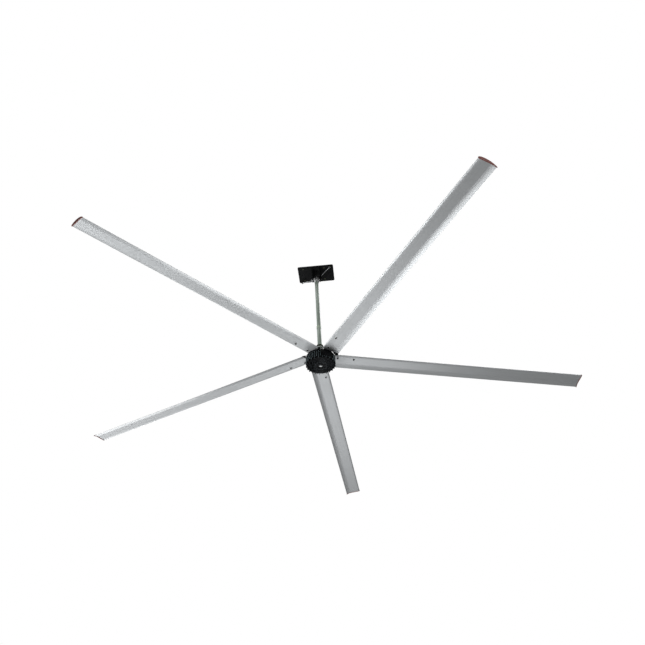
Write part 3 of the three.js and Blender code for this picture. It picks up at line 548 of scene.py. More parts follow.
def zinc_plate():
    """Zinc-plated steel: cloudy, with a faint yellow and blue cast in patches."""
    finish = Finish("zinc_plate", metallic=0.6)
    place = finish.place()
    cloud = finish.noise(place, 60.0, 4.0, 0.65)
    patch = finish.noise(place, 22.0, 2.0).above(0.35, 0.65)
    cast = finish.blend(patch, (0.70, 0.69, 0.63), (0.64, 0.68, 0.72))
    zinc = finish.blend(cloud.above(0.3, 0.7), cast, (0.66, 0.67, 0.68))
    return finish.surface(zinc, 0.28 + 0.2 * cloud, cloud, 0.0001, 0.3)


def wire_rope():
    """Galvanised wire rope: thin wires across each strand, with grease in the hollows."""
    finish = Finish("wire_rope", metallic=0.9)
    wires = finish.waves(finish.place(attribute="along"), "DIAGONAL", 420.0)
    dull = finish.noise(finish.place(), 90.0, 3.0)
    zinc = finish.blend(wires, (0.42, 0.43, 0.44), (0.72, 0.73, 0.74))
    return finish.surface(zinc, 0.26 + 0.2 * dull, wires, 0.0004, 0.6)


def cast_metal(name, colour, roughness=0.5):
    """Sand-cast metal: a granular skin with shallow pits."""
    finish = Finish(name, metallic=0.8)
    sand = finish.noise(finish.place(), 320.0, 4.0, 0.7)
    skin = finish.blend(sand.above(0.3, 0.75), scaled(colour, 0.82), scaled(colour, 1.1))
    return finish.surface(skin, roughness + 0.15 * sand, sand, 0.0006, 0.5)


def laminations():
    """Stacked steel sheets half a millimetre thick, seen as lines across the stack."""
    finish = Finish("laminations", metallic=0.8)
    height = finish.node("ShaderNodeSeparateXYZ", None, {0: finish.place()}, output="Z")
    two_sheets = 1.0 * MM
    sheet = (height * (2 * pi / two_sheets)).sine() * 0.5 + 0.5
    rust = finish.noise(finish.place(), 40.0, 4.0)
    steel = finish.blend(sheet, (0.08, 0.083, 0.09), (0.15, 0.155, 0.16))
    rusty = finish.blend(rust.above(0.6, 0.8) * 0.4, steel, (0.10, 0.06, 0.04))
    return finish.surface(rusty, 0.45 + 0.2 * rust, sheet, 0.0001, 0.6)


def enamelled_copper():
    """Enamelled copper wire laid side by side: fine ridges and a reddish varnish."""
    finish = Finish("enamelled_copper", metallic=0.85, coat_weight=0.4, coat_roughness=0.15)
    wire = finish.waves(finish.place(), "Z", 160.0)
    varnish = finish.noise(finish.place(), 55.0, 3.0)
    copper = finish.blend(wire, (0.22, 0.065, 0.02), (0.50, 0.19, 0.07))
    dark = finish.blend(varnish.above(0.5, 0.75) * 0.5, copper, (0.20, 0.05, 0.02))
    return finish.surface(dark, 0.3 + 0.15 * varnish, wire, 0.0005, 0.7)


FINISHES = {
    "blade_aluminium": drawn_aluminium(),
    "cap_brown": moulded_plastic("cap_plastic", (0.15, 0.042, 0.033)),
    "motor_black": powder_coat("motor_coat", (0.0035, 0.004, 0.005), 0.42, painted_highlights=fin_edge_highlights),
    "arm_black": powder_coat("arm_coat", (0.004, 0.0045, 0.005), 0.5),
    "plate_black": powder_coat("plate_coat", (0.004, 0.0045, 0.005), 0.5, rubbed=(0.016, 0.019, 0.010)),
    "rod_paint": satin_paint("rod_paint", (0.29, 0.35, 0.30)),
    "flange_olive": powder_coat("flange_paint", (0.020, 0.024, 0.012), 0.6, rubbed=(0.035, 0.040, 0.026)),
    "bare_steel": turned_steel("turned_steel"),
    "zinc_steel": zinc_plate(),
    "cable_steel": wire_rope(),
    "cast_aluminium": cast_metal("cast_aluminium", (0.30, 0.31, 0.32)),
    "lamination_steel": laminations(),
    "copper_wire": enamelled_copper(),
    "magnet_grey": cast_metal("magnet_plate", (0.06, 0.063, 0.07), 0.35),
    "black_rubber": moulded_plastic("nitrile_rubber", (0.012, 0.012, 0.012), 0.65, 0.5),
}

PALE_STEEL = turned_steel("pale_steel", (0.88, 0.89, 0.89), 0.5, metallic=0.15)
SHAFT_STEEL = turned_steel("shaft_steel", (0.44, 0.47, 0.44), 0.42, metallic=0.4)
# black oxide on the flange bolts; on the pivot nut and the blade bolts' heads the same near-black is painted
# shade
BLACK_OXIDE_AND_SHADE = powder_coat("black_oxide_and_painted_shade", (0.010, 0.011, 0.011), 0.42)
OLIVE_STEEL = powder_coat("olive_steel", (0.045, 0.050, 0.032), 0.42)
RING_PAINT = satin_paint("ring_paint", (0.42, 0.50, 0.40))

SMOOTH_BELOW = radians(38)
SLOT_OF = {part["node"]: part["material_slot"] for part in frame["record"]["subparts"]}
BODIES = frame["record"]["behaviour"]["bodies"]
BODY_OF = {node: body for body, members in BODIES.items() for node in members}


def added(name, data):
    """A new object in the scene, which holds the data."""
    thing = bpy.data.objects.new(name, data)
    bpy.context.scene.collection.objects.link(thing)
    return thing


def make(name, shell, body, slot, along=None, finish=None):
    """A finished piece: its points in metres, its faces smooth up to an angle, the finish of its slot unless
    another is given, and its body.
    """
    points, faces = shell
    mesh = bpy.data.meshes.new(name)
    mesh.from_pydata((points * MM).tolist(), [], faces)
    mesh.shade_smooth()
    mesh.set_sharp_from_angle(angle=SMOOTH_BELOW)
    if along is not None:
        corner = np.empty(len(mesh.loops), np.int32)
        mesh.loops.foreach_get("vertex_index", corner)
        mesh.uv_layers.new(name="along").data.foreach_set("uv", (along * MM)[corner].ravel())
    mesh.materials.append(finish or FINISHES[slot])
    piece = added(name, mesh)
    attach(piece, body)
    return piece


def stand_in(node, shell, along=None, finish=None):
    """A finer piece in a node's place, on its body and with its slot's finish unless another is given."""
    piece = make(node + "_form", shell, BODY_OF[node], SLOT_OF[node], along, finish)
    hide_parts(node)


# ---- camera
CAMERA_PLACE = (0.4702, -8.0008, -7.7324)
CAMERA_RIGHT = np.array([0.99534, 0.08706, -0.04148])
CAMERA_UP = np.array([0.08789, -0.64192, 0.76172])
CAMERA_LENS = 42.53

camera_data = bpy.data.cameras.new("camera")
camera_data.lens = CAMERA_LENS
camera_data.clip_end = 200
camera = added("camera", camera_data)
camera.matrix_world = Matrix(basis(CAMERA_RIGHT, CAMERA_UP, np.cross(CAMERA_RIGHT, CAMERA_UP), CAMERA_PLACE))
bpy.context.scene.camera = camera

# ---- ceiling plate, bracket and cables
X, Y, Z = np.eye(3)
ALONG_X = basis(Y, Z, X, (0, 0, 0))
ALONG_PIVOT = basis(Y, Z, X, (0, 0, -PIVOT_DROP))
SIDES = {"near_right": 0, "far_left": 180}
cable_line = PLATE_EYE - CHEEK_EYE
cable_length = np.linalg.norm(cable_line)
cable_way = unit(cable_line)
PLATE_FACE = corners("ceiling_plate")[0][2] - GAP


def ceiling_plate():
    low, high = corners("ceiling_plate")
    return prism(eased(rectangle(*low[:2], *high[:2]), 24, 8), low[2], high[2], 1.6)


def eye_ring(centre, stem):
    """The ring that a cable's loop links through, in the plane of its own stem and the cable."""
    ring = carried(revolved(EYE_RADIUS, circle(48), 0), round_section(EYE_WIRE, 18), Z, closed=True)
    normal = unit(np.cross(stem, cable_way))
    return moved(ring, basis(cable_way, np.cross(normal, cable_way), normal, centre))


def weld_bead(start, end, radius=4.0, ripple=5.0):
    """A weld along a straight joint: r = R (1 + 0.12 |sin(pi s / ripple)|) along the way s."""
    length = np.linalg.norm(np.subtract(end, start))
    s = np.linspace(0, 1, int(length / ripple * 5))[:, None]
    angle = circle(12)[None]
    r = radius * (1 + 0.12 * np.abs(np.sin(pi * s * length / ripple))) + 0 * angle
    path = np.array(start) + s * np.subtract(end, start)
    return carried(path, (r * np.cos(angle), r * np.sin(angle)), Z)


CHEEK_INNER = 49
CHEEK_THICKNESS = 8
CHEEK_OUTER = CHEEK_INNER + CHEEK_THICKNESS
CHEEK_TOP_HALF = 140
CHEEK_NOSE = 38
CHEEK_EDGE = 14
CHEEK_BEVEL = 3
WEB_THICKNESS = 8


def cheek_outline(top):
    """A trapezoid with a round nose about the pivot bolt, in Y and Z."""
    swing = np.linspace(pi, 2 * pi, 25)
    nose = np.stack([CHEEK_NOSE * np.cos(swing), CHEEK_NOSE * np.sin(swing) - PIVOT_DROP], 1)
    half, bevel, edge = CHEEK_TOP_HALF, top - CHEEK_BEVEL, top - CHEEK_EDGE
    left = [(CHEEK_BEVEL - half, top), (-half, bevel), (-half, edge)]
    right = [(half, edge), (half, bevel), (half - CHEEK_BEVEL, top)]
    return np.vstack([left, nose, right])


def clevis_bracket():
    """Two cheeks under a web, welded along its two inner corners, with an eye on each cheek."""
    top = corners("clevis_bracket")[1][2]
    outline = cheek_outline(top)
    parts = [moved(prism(outline, x, x + CHEEK_THICKNESS, 1.2), ALONG_X) for x in (-CHEEK_OUTER, CHEEK_INNER)]
    half = CHEEK_INNER + 1
    web = eased(rectangle(-half, -CHEEK_TOP_HALF, half, CHEEK_TOP_HALF), 2, 2)
    parts.append(prism(web, top - WEB_THICKNESS, top, 1))
    bead_half, bead_level = CHEEK_TOP_HALF - 6, top - WEB_THICKNESS - 1
    for x in (1.5 - CHEEK_INNER, CHEEK_INNER - 1.5):
        parts.append(weld_bead((x, -bead_half, bead_level), (x, bead_half, bead_level)))
    root = (CHEEK_OUTER, *CHEEK_EYE[1:])
    stem = lathe([(5, -1), (5, 7)], 24)
    collar = spun([(6, 0), (9, 0), (7, 3), (5, 4)], 1, 2, 24, hollow=False)
    eye = together(moved(together(stem, collar), basis(Y, Z, X, root)), eye_ring(CHEEK_EYE, X))
    parts += [moved(eye, turn(angle)) for angle in SIDES.values()]
    return together(*parts)


def eye_bolt():
    """A ring under a collar that bears on the plate."""
    foot = lathe([(10, -5), (10, 0)], 32)
    neck = spun([(5, -6.5), (7.5, -5), (7.5, -4)], 0.5, 2, 32, hollow=False)
    standing = moved(together(foot, neck), shift(*PLATE_EYE[:2], PLATE_FACE))
    return together(standing, eye_ring(PLATE_EYE, Z))


FERRULE_LENGTH = 25


def ferrule(start, end):
    """A pressed sleeve on the cable: an oval with three shallow waists, between two distances on it."""
    s = np.linspace(0, 1, 40)[:, None]
    angle = circle(32)[None]
    swell = np.minimum(1, 6 * np.minimum(s, 1 - s) + 0.7) - 0.07 * np.sin(3 * pi * s) ** 2
    across = 5.8 * swell * np.cos(angle)
    over = 4.8 * swell * np.sin(angle)
    path = CHEEK_EYE + (start + s * (end - start)) * cable_way
    return carried(path, (across, over), Z)


def safety_cable():
    """Twisted rope between two eyes, with a loop through each eye and a pressed ferrule behind it."""
    start = 2 * CABLE_LOOP - 2
    end = cable_length - start
    straight = CHEEK_EYE + np.linspace(start, end, 150)[:, None] * cable_way
    shells = [carried(straight, rope_section(straight, CABLE_RADIUS), Z)]
    maps = [rope_map(straight)]
    angle = circle(90)[:, None]
    for eye, stem, forward in ((CHEEK_EYE, X, 1), (PLATE_EYE, Z, -1)):
        normal = unit(np.cross(stem, cable_way))
        centre = eye + forward * CABLE_LOOP * cable_way
        loop = centre + CABLE_LOOP * (np.cos(angle) * cable_way + np.sin(angle) * normal)
        section = rope_section(loop, CABLE_RADIUS - 0.5, 2 * pi * CABLE_LOOP / 3)
        shells.append(carried(loop, section, np.cross(cable_way, normal), closed=True))
        maps.append(rope_map(loop))
    for first, last in ((start, start + FERRULE_LENGTH), (end - FERRULE_LENGTH, end)):
        shells.append(ferrule(first, last))
        maps.append(np.zeros((len(shells[-1][0]), 2)))
    return together(*shells), np.vstack(maps)


def four_bolts(name, bolt, level, finish):
    """The bolt at the place of each of four nodes, its head under this level."""
    for number in range(1, 5):
        node = f"{name}_{number}"
        x, y, _ = middle_of(node)
        stand_in(node, moved(bolt, shift(x, y, level)), finish=finish)


stand_in("ceiling_plate", ceiling_plate())
stand_in("clevis_bracket", clevis_bracket())
four_bolts("anchor_bolt", hex_bolt(6.2, 7, nut=False), PLATE_FACE, OLIVE_STEEL)
rope, rope_lines = safety_cable()
for side, angle in SIDES.items():
    stand_in(f"eye_bolt_{side}", moved(eye_bolt(), turn(angle)), finish=OLIVE_STEEL)
    stand_in(f"safety_cable_{side}", moved(rope, turn(angle)), rope_lines)


PIVOT_RADIUS = 12
PIVOT_FLATS = 35.5
PIVOT_WASHER_RADIUS = 22
NUT_SEAT = CHEEK_OUTER + GAP + 4


def pivot_bolt():
    """Along X: a hexagon head and washer on the left, a plain shank, and a threaded end on the right."""
    low, high = corners("pivot_bolt")
    parts = [
        washer(PIVOT_WASHER_RADIUS, PIVOT_RADIUS, -NUT_SEAT, -CHEEK_OUTER - GAP),
        hexagon(PIVOT_FLATS, low[0], -NUT_SEAT, chamfer_high=False),
        lathe([(PIVOT_RADIUS, -CHEEK_OUTER - 5), (PIVOT_RADIUS, CHEEK_OUTER + 5)], 48),
        thread(PIVOT_RADIUS, CHEEK_OUTER + 4, high[0], 1.75),
    ]
    return moved(together(*parts), ALONG_PIVOT)


def pivot_nut():
    disc = washer(PIVOT_WASHER_RADIUS, PIVOT_RADIUS + 0.4, CHEEK_OUTER + GAP, NUT_SEAT)
    nut = hexagon(PIVOT_FLATS, NUT_SEAT, corners("pivot_nut")[1][0])
    return moved(together(disc, nut), ALONG_PIVOT)


stand_in("pivot_bolt", pivot_bolt())
# the nut is drawn near-black: painted shade, for the shadow it sits in
stand_in("pivot_nut", pivot_nut(), finish=BLACK_OXIDE_AND_SHADE)

# ---- rod, head and flange
LUG = [(34, -40), (34, 22), (26, 38), (14, 46), (-14, 46), (-26, 38), (-34, 22), (-34, -40)]
HEAD_HALF_WIDTH = 35
HEAD_DROP = 58
ROD_WALL = 5


def rod_head():
    """A lug on the pivot bolt with a low ring round the bolt on each side, and a collar for the rod."""
    lug = moved(prism(eased(LUG, 9, 4), -HEAD_HALF_WIDTH, HEAD_HALF_WIDTH, 2.5), ALONG_PIVOT)
    radius = turned_size("upper_rod")[0] + GAP
    bottom = -PIVOT_DROP - HEAD_DROP
    collar = [(radius, bottom), (33, bottom), (35, bottom + 3), (35, bottom + 22), (radius, bottom + 22)]
    ring = spun(rectangle(14, HEAD_HALF_WIDTH - 1, 19, HEAD_HALF_WIDTH + 2), 0.6, 2, 48)
    rings = [moved(ring, place) for place in (ALONG_PIVOT, basis(Z, Y, -X, (0, 0, -PIVOT_DROP)))]
    return together(lug, spun(collar, 1, 3, 64), *rings)


def tube(node):
    radius, bottom, top = turned_size(node)
    return spun(rectangle(radius - ROD_WALL, bottom, radius, top), 0.8, 2, 72)


def joint_ring():
    """A thin sleeve over the two rods' joint, with a groove near each edge."""
    radius, bottom, top = turned_size("joint_ring")
    outer = [(radius - 1.5, bottom), (radius, bottom + 1.5), (radius, bottom + 7), (radius - 1, bottom + 8),
             (radius, bottom + 9), (radius, top - 9), (radius - 1, top - 8), (radius, top - 7),
             (radius, top - 1.5), (radius - 1.5, top)]
    inner = [(26.4, top), (26.4, bottom + 21), (28.4, bottom + 20), (28.4, bottom)]
    return lathe(outer + inner, 72, hollow=True)


FLANGE_FOOT = 8
FLANGE_DISC = 24
FLANGE_FLOOR = 22  # the height of the rod's foot above the flange's
FLANGE_LIP = 4
FLANGE_HOLE = 12
SHAFT_BORE = 11
SHAFT_NECK = 25
SHAFT_FLANGE = 11.7  # its thickness


def rod_flange():
    """A round disc that the rod stands in, raised by its foot."""
    radius, bottom, _ = turned_size("rod_flange")
    bore = turned_size("lower_rod")[0] + GAP
    lip = radius + FLANGE_LIP
    low, floor = bottom + FLANGE_FOOT, bottom + FLANGE_FLOOR
    high = low + FLANGE_DISC
    profile = [(FLANGE_HOLE, low), (lip, low), (lip, high - 3), (bore + 7, high), (bore, high), (bore, floor),
               (FLANGE_HOLE, floor)]
    return spun(profile, [0.5, 1.5, 3, 1, 0.5, 1, 0.5], 5, 96)


def flange_foot():
    """The bare steel ring under the disc, on the stator shaft's own flange."""
    radius, bottom, _ = turned_size("rod_flange")
    profile = rectangle(FLANGE_HOLE, bottom, radius - 3, bottom + FLANGE_FOOT)
    return spun(profile, [0.5, 1, 0.5, 0.5], 4, 96)


def flange_collar():
    """The flange's sleeve round the foot of the lower rod, painted over with the rod."""
    _, bottom, top = turned_size("rod_flange")
    bore = turned_size("lower_rod")[0] + GAP
    foot = bottom + FLANGE_FOOT + FLANGE_DISC
    profile = [(bore, foot), (bore + 5, foot), (bore + 4, top), (bore, top)]
    return spun(profile, [0.5, 0.5, 1.5, 0.5], 4, 96)


def cable_gland():
    """A hexagon on the back of the rod, a neck into it and a domed nut with a hole for the lead."""
    dome = [(4, 35), (9, 35), (9.4, 44), (8, 50), (5.5, 52), (4, 52)]
    parts = [
        hexagon(20.4, 26.6, 36),
        lathe([(7.6, 22), (7.6, 27)], 32),
        spun(dome, 1.5, 3, 48),
    ]
    return moved(together(*parts), basis(X, -Z, Y, (0, 0, middle_of("cable_gland")[2])))


def stator_shaft():
    """The hollow shaft: a long neck with a wide flange on top."""
    radius, bottom, top = turned_size("stator_shaft")
    flange = top - SHAFT_FLANGE
    profile = [(SHAFT_BORE, bottom), (SHAFT_NECK, bottom), (SHAFT_NECK, flange - 2), (radius, flange),
               (radius, top), (SHAFT_BORE, top)]
    return spun(profile, [1, 2, 9, 1.2, 1, 1], 4, 96)


stand_in("rod_head", rod_head())
stand_in("upper_rod", tube("upper_rod"))
stand_in("lower_rod", tube("lower_rod"))
stand_in("joint_ring", joint_ring(), finish=RING_PAINT)
stand_in("rod_flange", rod_flange())
make("flange_foot", flange_foot(), "hanger", "flange_olive", finish=SHAFT_STEEL)
make("flange_collar", flange_collar(), "hanger", "rod_paint")
stand_in("cable_gland", cable_gland())
stand_in("stator_shaft", stator_shaft(), finish=SHAFT_STEEL)
flange_face = turned_size("stator_shaft")[2] - SHAFT_FLANGE - GAP
four_bolts("flange_bolt", hex_bolt(3.9, 16, nut=False), flange_face, BLACK_OXIDE_AND_SHADE)

# ---- motor
FLOOR_HOLE = 6


def bowl():
    """A flat floor and an upright wall with a rim outside its top."""
    profile = [
        (FLOOR_HOLE, FLOOR_BOTTOM), (WALL_RADIUS - 4, FLOOR_BOTTOM), (WALL_RADIUS, FLOOR_BOTTOM + 4),
        (WALL_RADIUS, RIM_BOTTOM), (RIM_RADIUS, RIM_BOTTOM + 2), (RIM_RADIUS, WALL_TOP),
        (CAVITY_RADIUS, WALL_TOP), (CAVITY_RADIUS, FLOOR_TOP), (FLOOR_HOLE, FLOOR_TOP),
    ]
    return spun(profile, [0.5, 4, 4, 4, 2, 2, 1, 4, 0.5], 4, 192)


def fin(reaches_up, notches, corner):
    """A cooling fin in the plane of a radius and Z, its edges rounded and its lower edge notched.

    Its outer lower corner is cut back by the given reach.
    """
    bottom, inside = FLOOR_BOTTOM - FIN_DEPTH, FLOOR_BOTTOM + 2
    top = RIM_BOTTOM + 3 if reaches_up else SHORT_FIN_TOP
    notch = bottom + NOTCH_DEPTH
    outline = [(FIN_INNER, inside), (FIN_INNER + 6, bottom)]
    reach = [1, 4]
    for radius in notches:
        left, right = radius - NOTCH_WIDTH / 2, radius + NOTCH_WIDTH / 2
        outline += [(left, bottom), (left + 1, notch), (right - 1, notch), (right, bottom)]
        reach += [1, 1.5, 1.5, 1]
    outline += [(ROTOR_RADIUS - corner, bottom), (ROTOR_RADIUS, bottom + corner), (ROTOR_RADIUS, top),
                (WALL_RADIUS - 3, top), (WALL_RADIUS - 3, inside)]
    reach += [3, 3, 4, 0.5, 0.5]
    plate = prism(eased(outline, reach, 3), -FIN_THICKNESS / 2, FIN_THICKNESS / 2, 1.2, 2)
    return moved(plate, basis(X, Z, -Y, (0, 0, 0)))


def fins():
    """The notches of one fin face the lands of the next, so that the bottom looks chequered."""
    angles = half_steps(FIN_COUNT) - 180
    on_pad = (angles > PAD[0]) & (angles < PAD[1])
    odd = np.arange(FIN_COUNT) % 2 == 1
    groups = []
    for reaches_up, place in ((True, ~on_pad), (False, on_pad)):
        groups.append(around(fin(reaches_up, NOTCH_RADII[::2], 5), angles[place & odd]))
        groups.append(around(fin(reaches_up, NOTCH_RADII[1:-1:2], 22), angles[place & ~odd]))
    return together(*groups)


def housing():
    """Bowl, fins, the collar round the boss, the smooth pad and the lower bearing's seat."""
    collar = spun(rectangle(50, FLOOR_BOTTOM - 8, 58, FLOOR_BOTTOM + 1), 1.2, 3, 96)
    return together(bowl(), fins(), collar, smooth_pad(), bearing_seat())


def smooth_pad():
    """A thick curved plate on the wall, where the fins stop short."""
    swing = np.radians(np.linspace(*PAD, 40))
    arc = np.stack([np.cos(swing), np.sin(swing)], 1)
    outline = np.vstack([arc * (ROTOR_RADIUS - 2), arc[::-1] * (WALL_RADIUS - 4)])
    return prism(outline, SHORT_FIN_TOP, RIM_BOTTOM + 3, 2)


def bearing_seat():
    """A ring on the bowl's floor that the lower bearing sits in."""
    low, high = corners("lower_bearing")
    top, bottom = high[2] + 3, low[2] - GAP
    bore = BEARING_RADIUS + GAP
    profile = [(36, FLOOR_TOP - 1), (56, FLOOR_TOP - 1), (56, top), (bore, top), (bore, bottom), (36, bottom)]
    return spun(profile, 1, 2, 64)


def hub_cover():
    """A shallow cone that closes the bowl, rising to a boss round the upper bearing."""
    _, bottom, top = turned_size("hub_cover")
    flat, rim = COVER_FLAT - TIP_DROP, bottom + COVER_RIM
    roof = rim - 2
    seat = corners("upper_bearing")[0][2] - GAP
    bore = BEARING_RADIUS + GAP
    profile = [
        (27, top - 6), (bore, top - 6), (bore, seat), (38, seat), (38, roof), (CAVITY_RADIUS, roof),
        (CAVITY_RADIUS, bottom), (RIM_RADIUS, bottom), (RIM_RADIUS, rim), (COVER_FLAT_RADIUS, flat),
        (68, flat), (62, flat + 14), (60, top), (27, top),
    ]
    return spun(profile, [0.5, 1, 1, 1, 1, 1, 0.5, 1, 3, 6, 5, 5, 4, 1], 4, 144)


BOSS_TOP = FLOOR_BOTTOM - GAP
STAR_RADIUS = 27.8
COVER_SCREWS = 20


def boss_star():
    """A star of four points under a round foot, domed towards its middle: r = R (1 - 0.75 |sin 2a|^0.5)."""
    bottom = corners("boss_cap")[0][2]
    angle = circle(96)
    lobes = STAR_RADIUS * (1 - 0.75 * np.abs(np.sin(2 * angle)) ** 0.5)
    share = np.array([0.3, 0.55, 0.8, 0.93, 1, 1])[:, None]
    rise = np.array([1.2, 0.4, 0, 0.6, 2, 8])[:, None]
    star = grid(revolved(share * lobes, angle, bottom + rise), ends=True)
    spigot = lathe([(9.6, BOSS_TOP - 1), (9.6, FLOOR_TOP)], 32)
    screw = moved(hexagon(10, 0, 4, chamfer_high=False), shift(z=bottom - 1.5))
    return together(star, spigot, screw)


def boss_foot():
    """A low black disc between the bowl's floor and the star."""
    return spun([(27, BOSS_TOP - 9), (28, BOSS_TOP - 8), (28, BOSS_TOP)], 0.8, 2, 96, hollow=False)


def cover_screws():
    """Round heads on washers, in a ring on the cover's rim."""
    middle = (RIM_RADIUS + CAVITY_RADIUS) / 2 - 1
    seat = corners("hub_cover")[0][2] + COVER_RIM + 0.8
    screw = together(lathe([(5.5, 0), (5.5, 5.5)], 32), washer(7.5, 3, -0.5, 0.8))
    return around(moved(screw, shift(middle, 0, seat)), half_steps(COVER_SCREWS))


stand_in("rotor_housing", housing())
stand_in("hub_cover", hub_cover())
stand_in("boss_cap", boss_star(), finish=PALE_STEEL)
make("boss_foot", boss_foot(), "rotor", "motor_black")
make("cover_screws", cover_screws(), "rotor", "zinc_steel")


# ---- blades, caps, arms and their bolts
def camber(x):
    """Two parabolas that meet at the peak, as a share of the chord."""
    p = CAMBER_PEAK
    front = AIRFOIL_CAMBER / p ** 2 * (2 * p * x - x * x)
    back = AIRFOIL_CAMBER / (1 - p) ** 2 * (1 - 2 * p + 2 * p * x - x * x)
    return np.where(x < p, front, back)


def half_thickness(x):
    """The four-digit thickness: 5 t (0.2969 sqrt x - 0.126 x - 0.3516 x^2 + 0.2843 x^3 - 0.1036 x^4)."""
    section = 0.2969 * np.sqrt(x) - 0.126 * x - 0.3516 * x ** 2 + 0.2843 * x ** 3 - 0.1036 * x ** 4
    return 5 * AIRFOIL_THICKNESS * section * CHORD + TRAILING_EDGE_THICKNESS / 2 * x


def skins(x):
    """Distance along the chord with the upper and the lower skin there, in the blade's own frame.

    The tail bends down by D (k f + (1 - k) f^2), with f the way along the flap and k its kink.
    """
    flap = np.maximum(0, (x - FLAP_START) / (1 - FLAP_START))
    line = camber(x) * CHORD - FLAP_DROP * (FLAP_KINK * flap + (1 - FLAP_KINK) * flap ** 2)
    half = half_thickness(x)
    return LEADING_EDGE + x * CHORD, line + half, line - half


SECTION_STEPS = 46
SECTION = np.sort(np.append((1 - np.cos(np.linspace(0, pi, SECTION_STEPS))) / 2, FLAP_START))


def outline_of(y, upper, lower):
    """Over the top from back to front and back along the underside, in Y and Z."""
    return np.vstack([np.stack([y, upper], 1)[::-1], np.stack([y, lower], 1)[1:]])


def airfoil():
    return outline_of(*skins(SECTION))


def cavity():
    """The hollow inside it, point for point with the outline."""
    y, upper, lower = skins(CAVITY[0] + (CAVITY[1] - CAVITY[0]) * SECTION)
    return outline_of(y, upper - BLADE_WALL, lower + BLADE_WALL)


def at(outline, x):
    """An outline in Y and Z set at a distance out along the blade."""
    return np.column_stack([np.full(len(outline), x), outline])


BLADE_END = TIP_RADIUS - CAP_THICKNESS - GAP
BLADE_STATIONS = 12
CAP_SCREWS = ((-14, 11), (62, 14))


def blade():
    """The outline carried from root to tip and the hollow carried back, as one closed skin, and its map."""
    out = np.linspace(ROOT_RADIUS, BLADE_END, BLADE_STATIONS)
    points = np.array([at(airfoil(), x) for x in out] + [at(cavity(), x) for x in out[::-1]])
    return grid(points, wrap_rows=True), points.reshape(-1, 3)[:, :2]


def end_cap():
    """The airfoil moved out along its normals, by 4 x (1 - x) more above, with two screws in its face."""
    crown = 4 * SECTION * (1 - SECTION) * (CAP_TOP_LIP - CAP_LIP)
    lip = CAP_LIP + np.concatenate([crown[::-1], np.zeros(len(SECTION) - 1)])
    plate = prism(inset(airfoil(), -lip[:, None]), BLADE_END + GAP, TIP_RADIUS, 2.4, 4)
    hollow = cavity()
    centre = hollow.mean(0)
    plug = prism(centre + (hollow - centre) * 0.97, BLADE_END - 25, BLADE_END + 2, 0.5, 1)
    screw = spun([(4.2, 0), (4.2, 1.2), (3.4, 1.8)], 0.3, 1, 24, hollow=False)
    screws = [moved(screw, shift(y, z, TIP_RADIUS - 1.6)) for y, z in CAP_SCREWS]
    return moved(together(plate, plug, *screws), ALONG_X)


BLADE_BOLT_RADIUS = 6
BLADE_BOLT_SEAT = 15  # half the length of skin under a washer


def blade_bolt():
    """Through both skins and the arm, without its head, and the head on its own under the blade."""
    x = (np.array([-BLADE_BOLT_SEAT, BLADE_BOLT_SEAT]) - LEADING_EDGE) / CHORD
    _, upper, lower = skins(x)
    head_seat = lower.min() - 0.5
    grip = upper.max() + 0.6 - head_seat
    through = hex_bolt(BLADE_BOLT_RADIUS, grip, grip + 14, wide=2.45, head=False)
    return [moved(part, shift(z=head_seat)) for part in (through, hex_head(BLADE_BOLT_RADIUS))]


blade_frame = shift(z=ROOT_HEIGHT) @ turn(BLADE_DROOP, "Y") @ turn(-BLADE_PITCH, "X")
FOOT_LEVEL = COVER_FLAT + GAP
FOOT_BOLTS = [(x, y) for x in (110, 132) for y in (-14, 60)]


def arm():
    """A flat bar with rounded edges: level on the cover, then eased over into the blade's plane.

    Between foot and tongue a point is (1 - w) foot + w tongue, with w = 3 u^2 - 2 u^3 on the way u.
    """
    half_width, half_height = ARM_WIDTH / 2, ARM_THICKNESS / 2
    bar = rectangle(ARM_MIDDLE - half_width, -half_height, ARM_MIDDLE + half_width, half_height)
    box = eased(bar, 3, 4)
    bend_end = ROOT_RADIUS - 4
    bend = np.linspace(ARM_BEND_START, bend_end, 12)
    tongue = np.linspace(ROOT_RADIUS + 20, ARM_OUTER_RADIUS, 6)
    stations = np.concatenate([[ARM_INNER_RADIUS + 4], bend, tongue])
    u = np.clip((stations - ARM_BEND_START) / (bend_end - ARM_BEND_START), 0, 1)
    weight = (3 * u ** 2 - 2 * u ** 3)[:, None, None]
    straight = np.array([at(box, x) for x in stations])
    level = straight + (0, 0, FOOT_LEVEL + half_height)
    sloped = placed(straight + (0, 0, TONGUE_LIFT), blade_frame)
    rows = (1 - weight) * level + weight * sloped
    middle = rows[0].mean(0)
    inner_end = middle + (rows[0] - middle) * (1, 0.93, 0.6) - (4, 0, 0)
    return grid(np.vstack([inner_end[None], rows]), ends=True)


def foot_bolts():
    """Four bolts that hold an arm's foot to the cover, heads up."""
    head = moved(hex_bolt(6, 4, nut=False), turn(180, "X"))
    top = FOOT_LEVEL + ARM_THICKNESS
    return together(*[moved(head, shift(x, y, top)) for x, y in FOOT_BOLTS])


CORNER_FRONT = 86
CORNER_BACK = 176
CORNER_INNER = 199  # the circle that clears the motor
CORNER_OUTER = 184
CORNER_LAP = 1.6


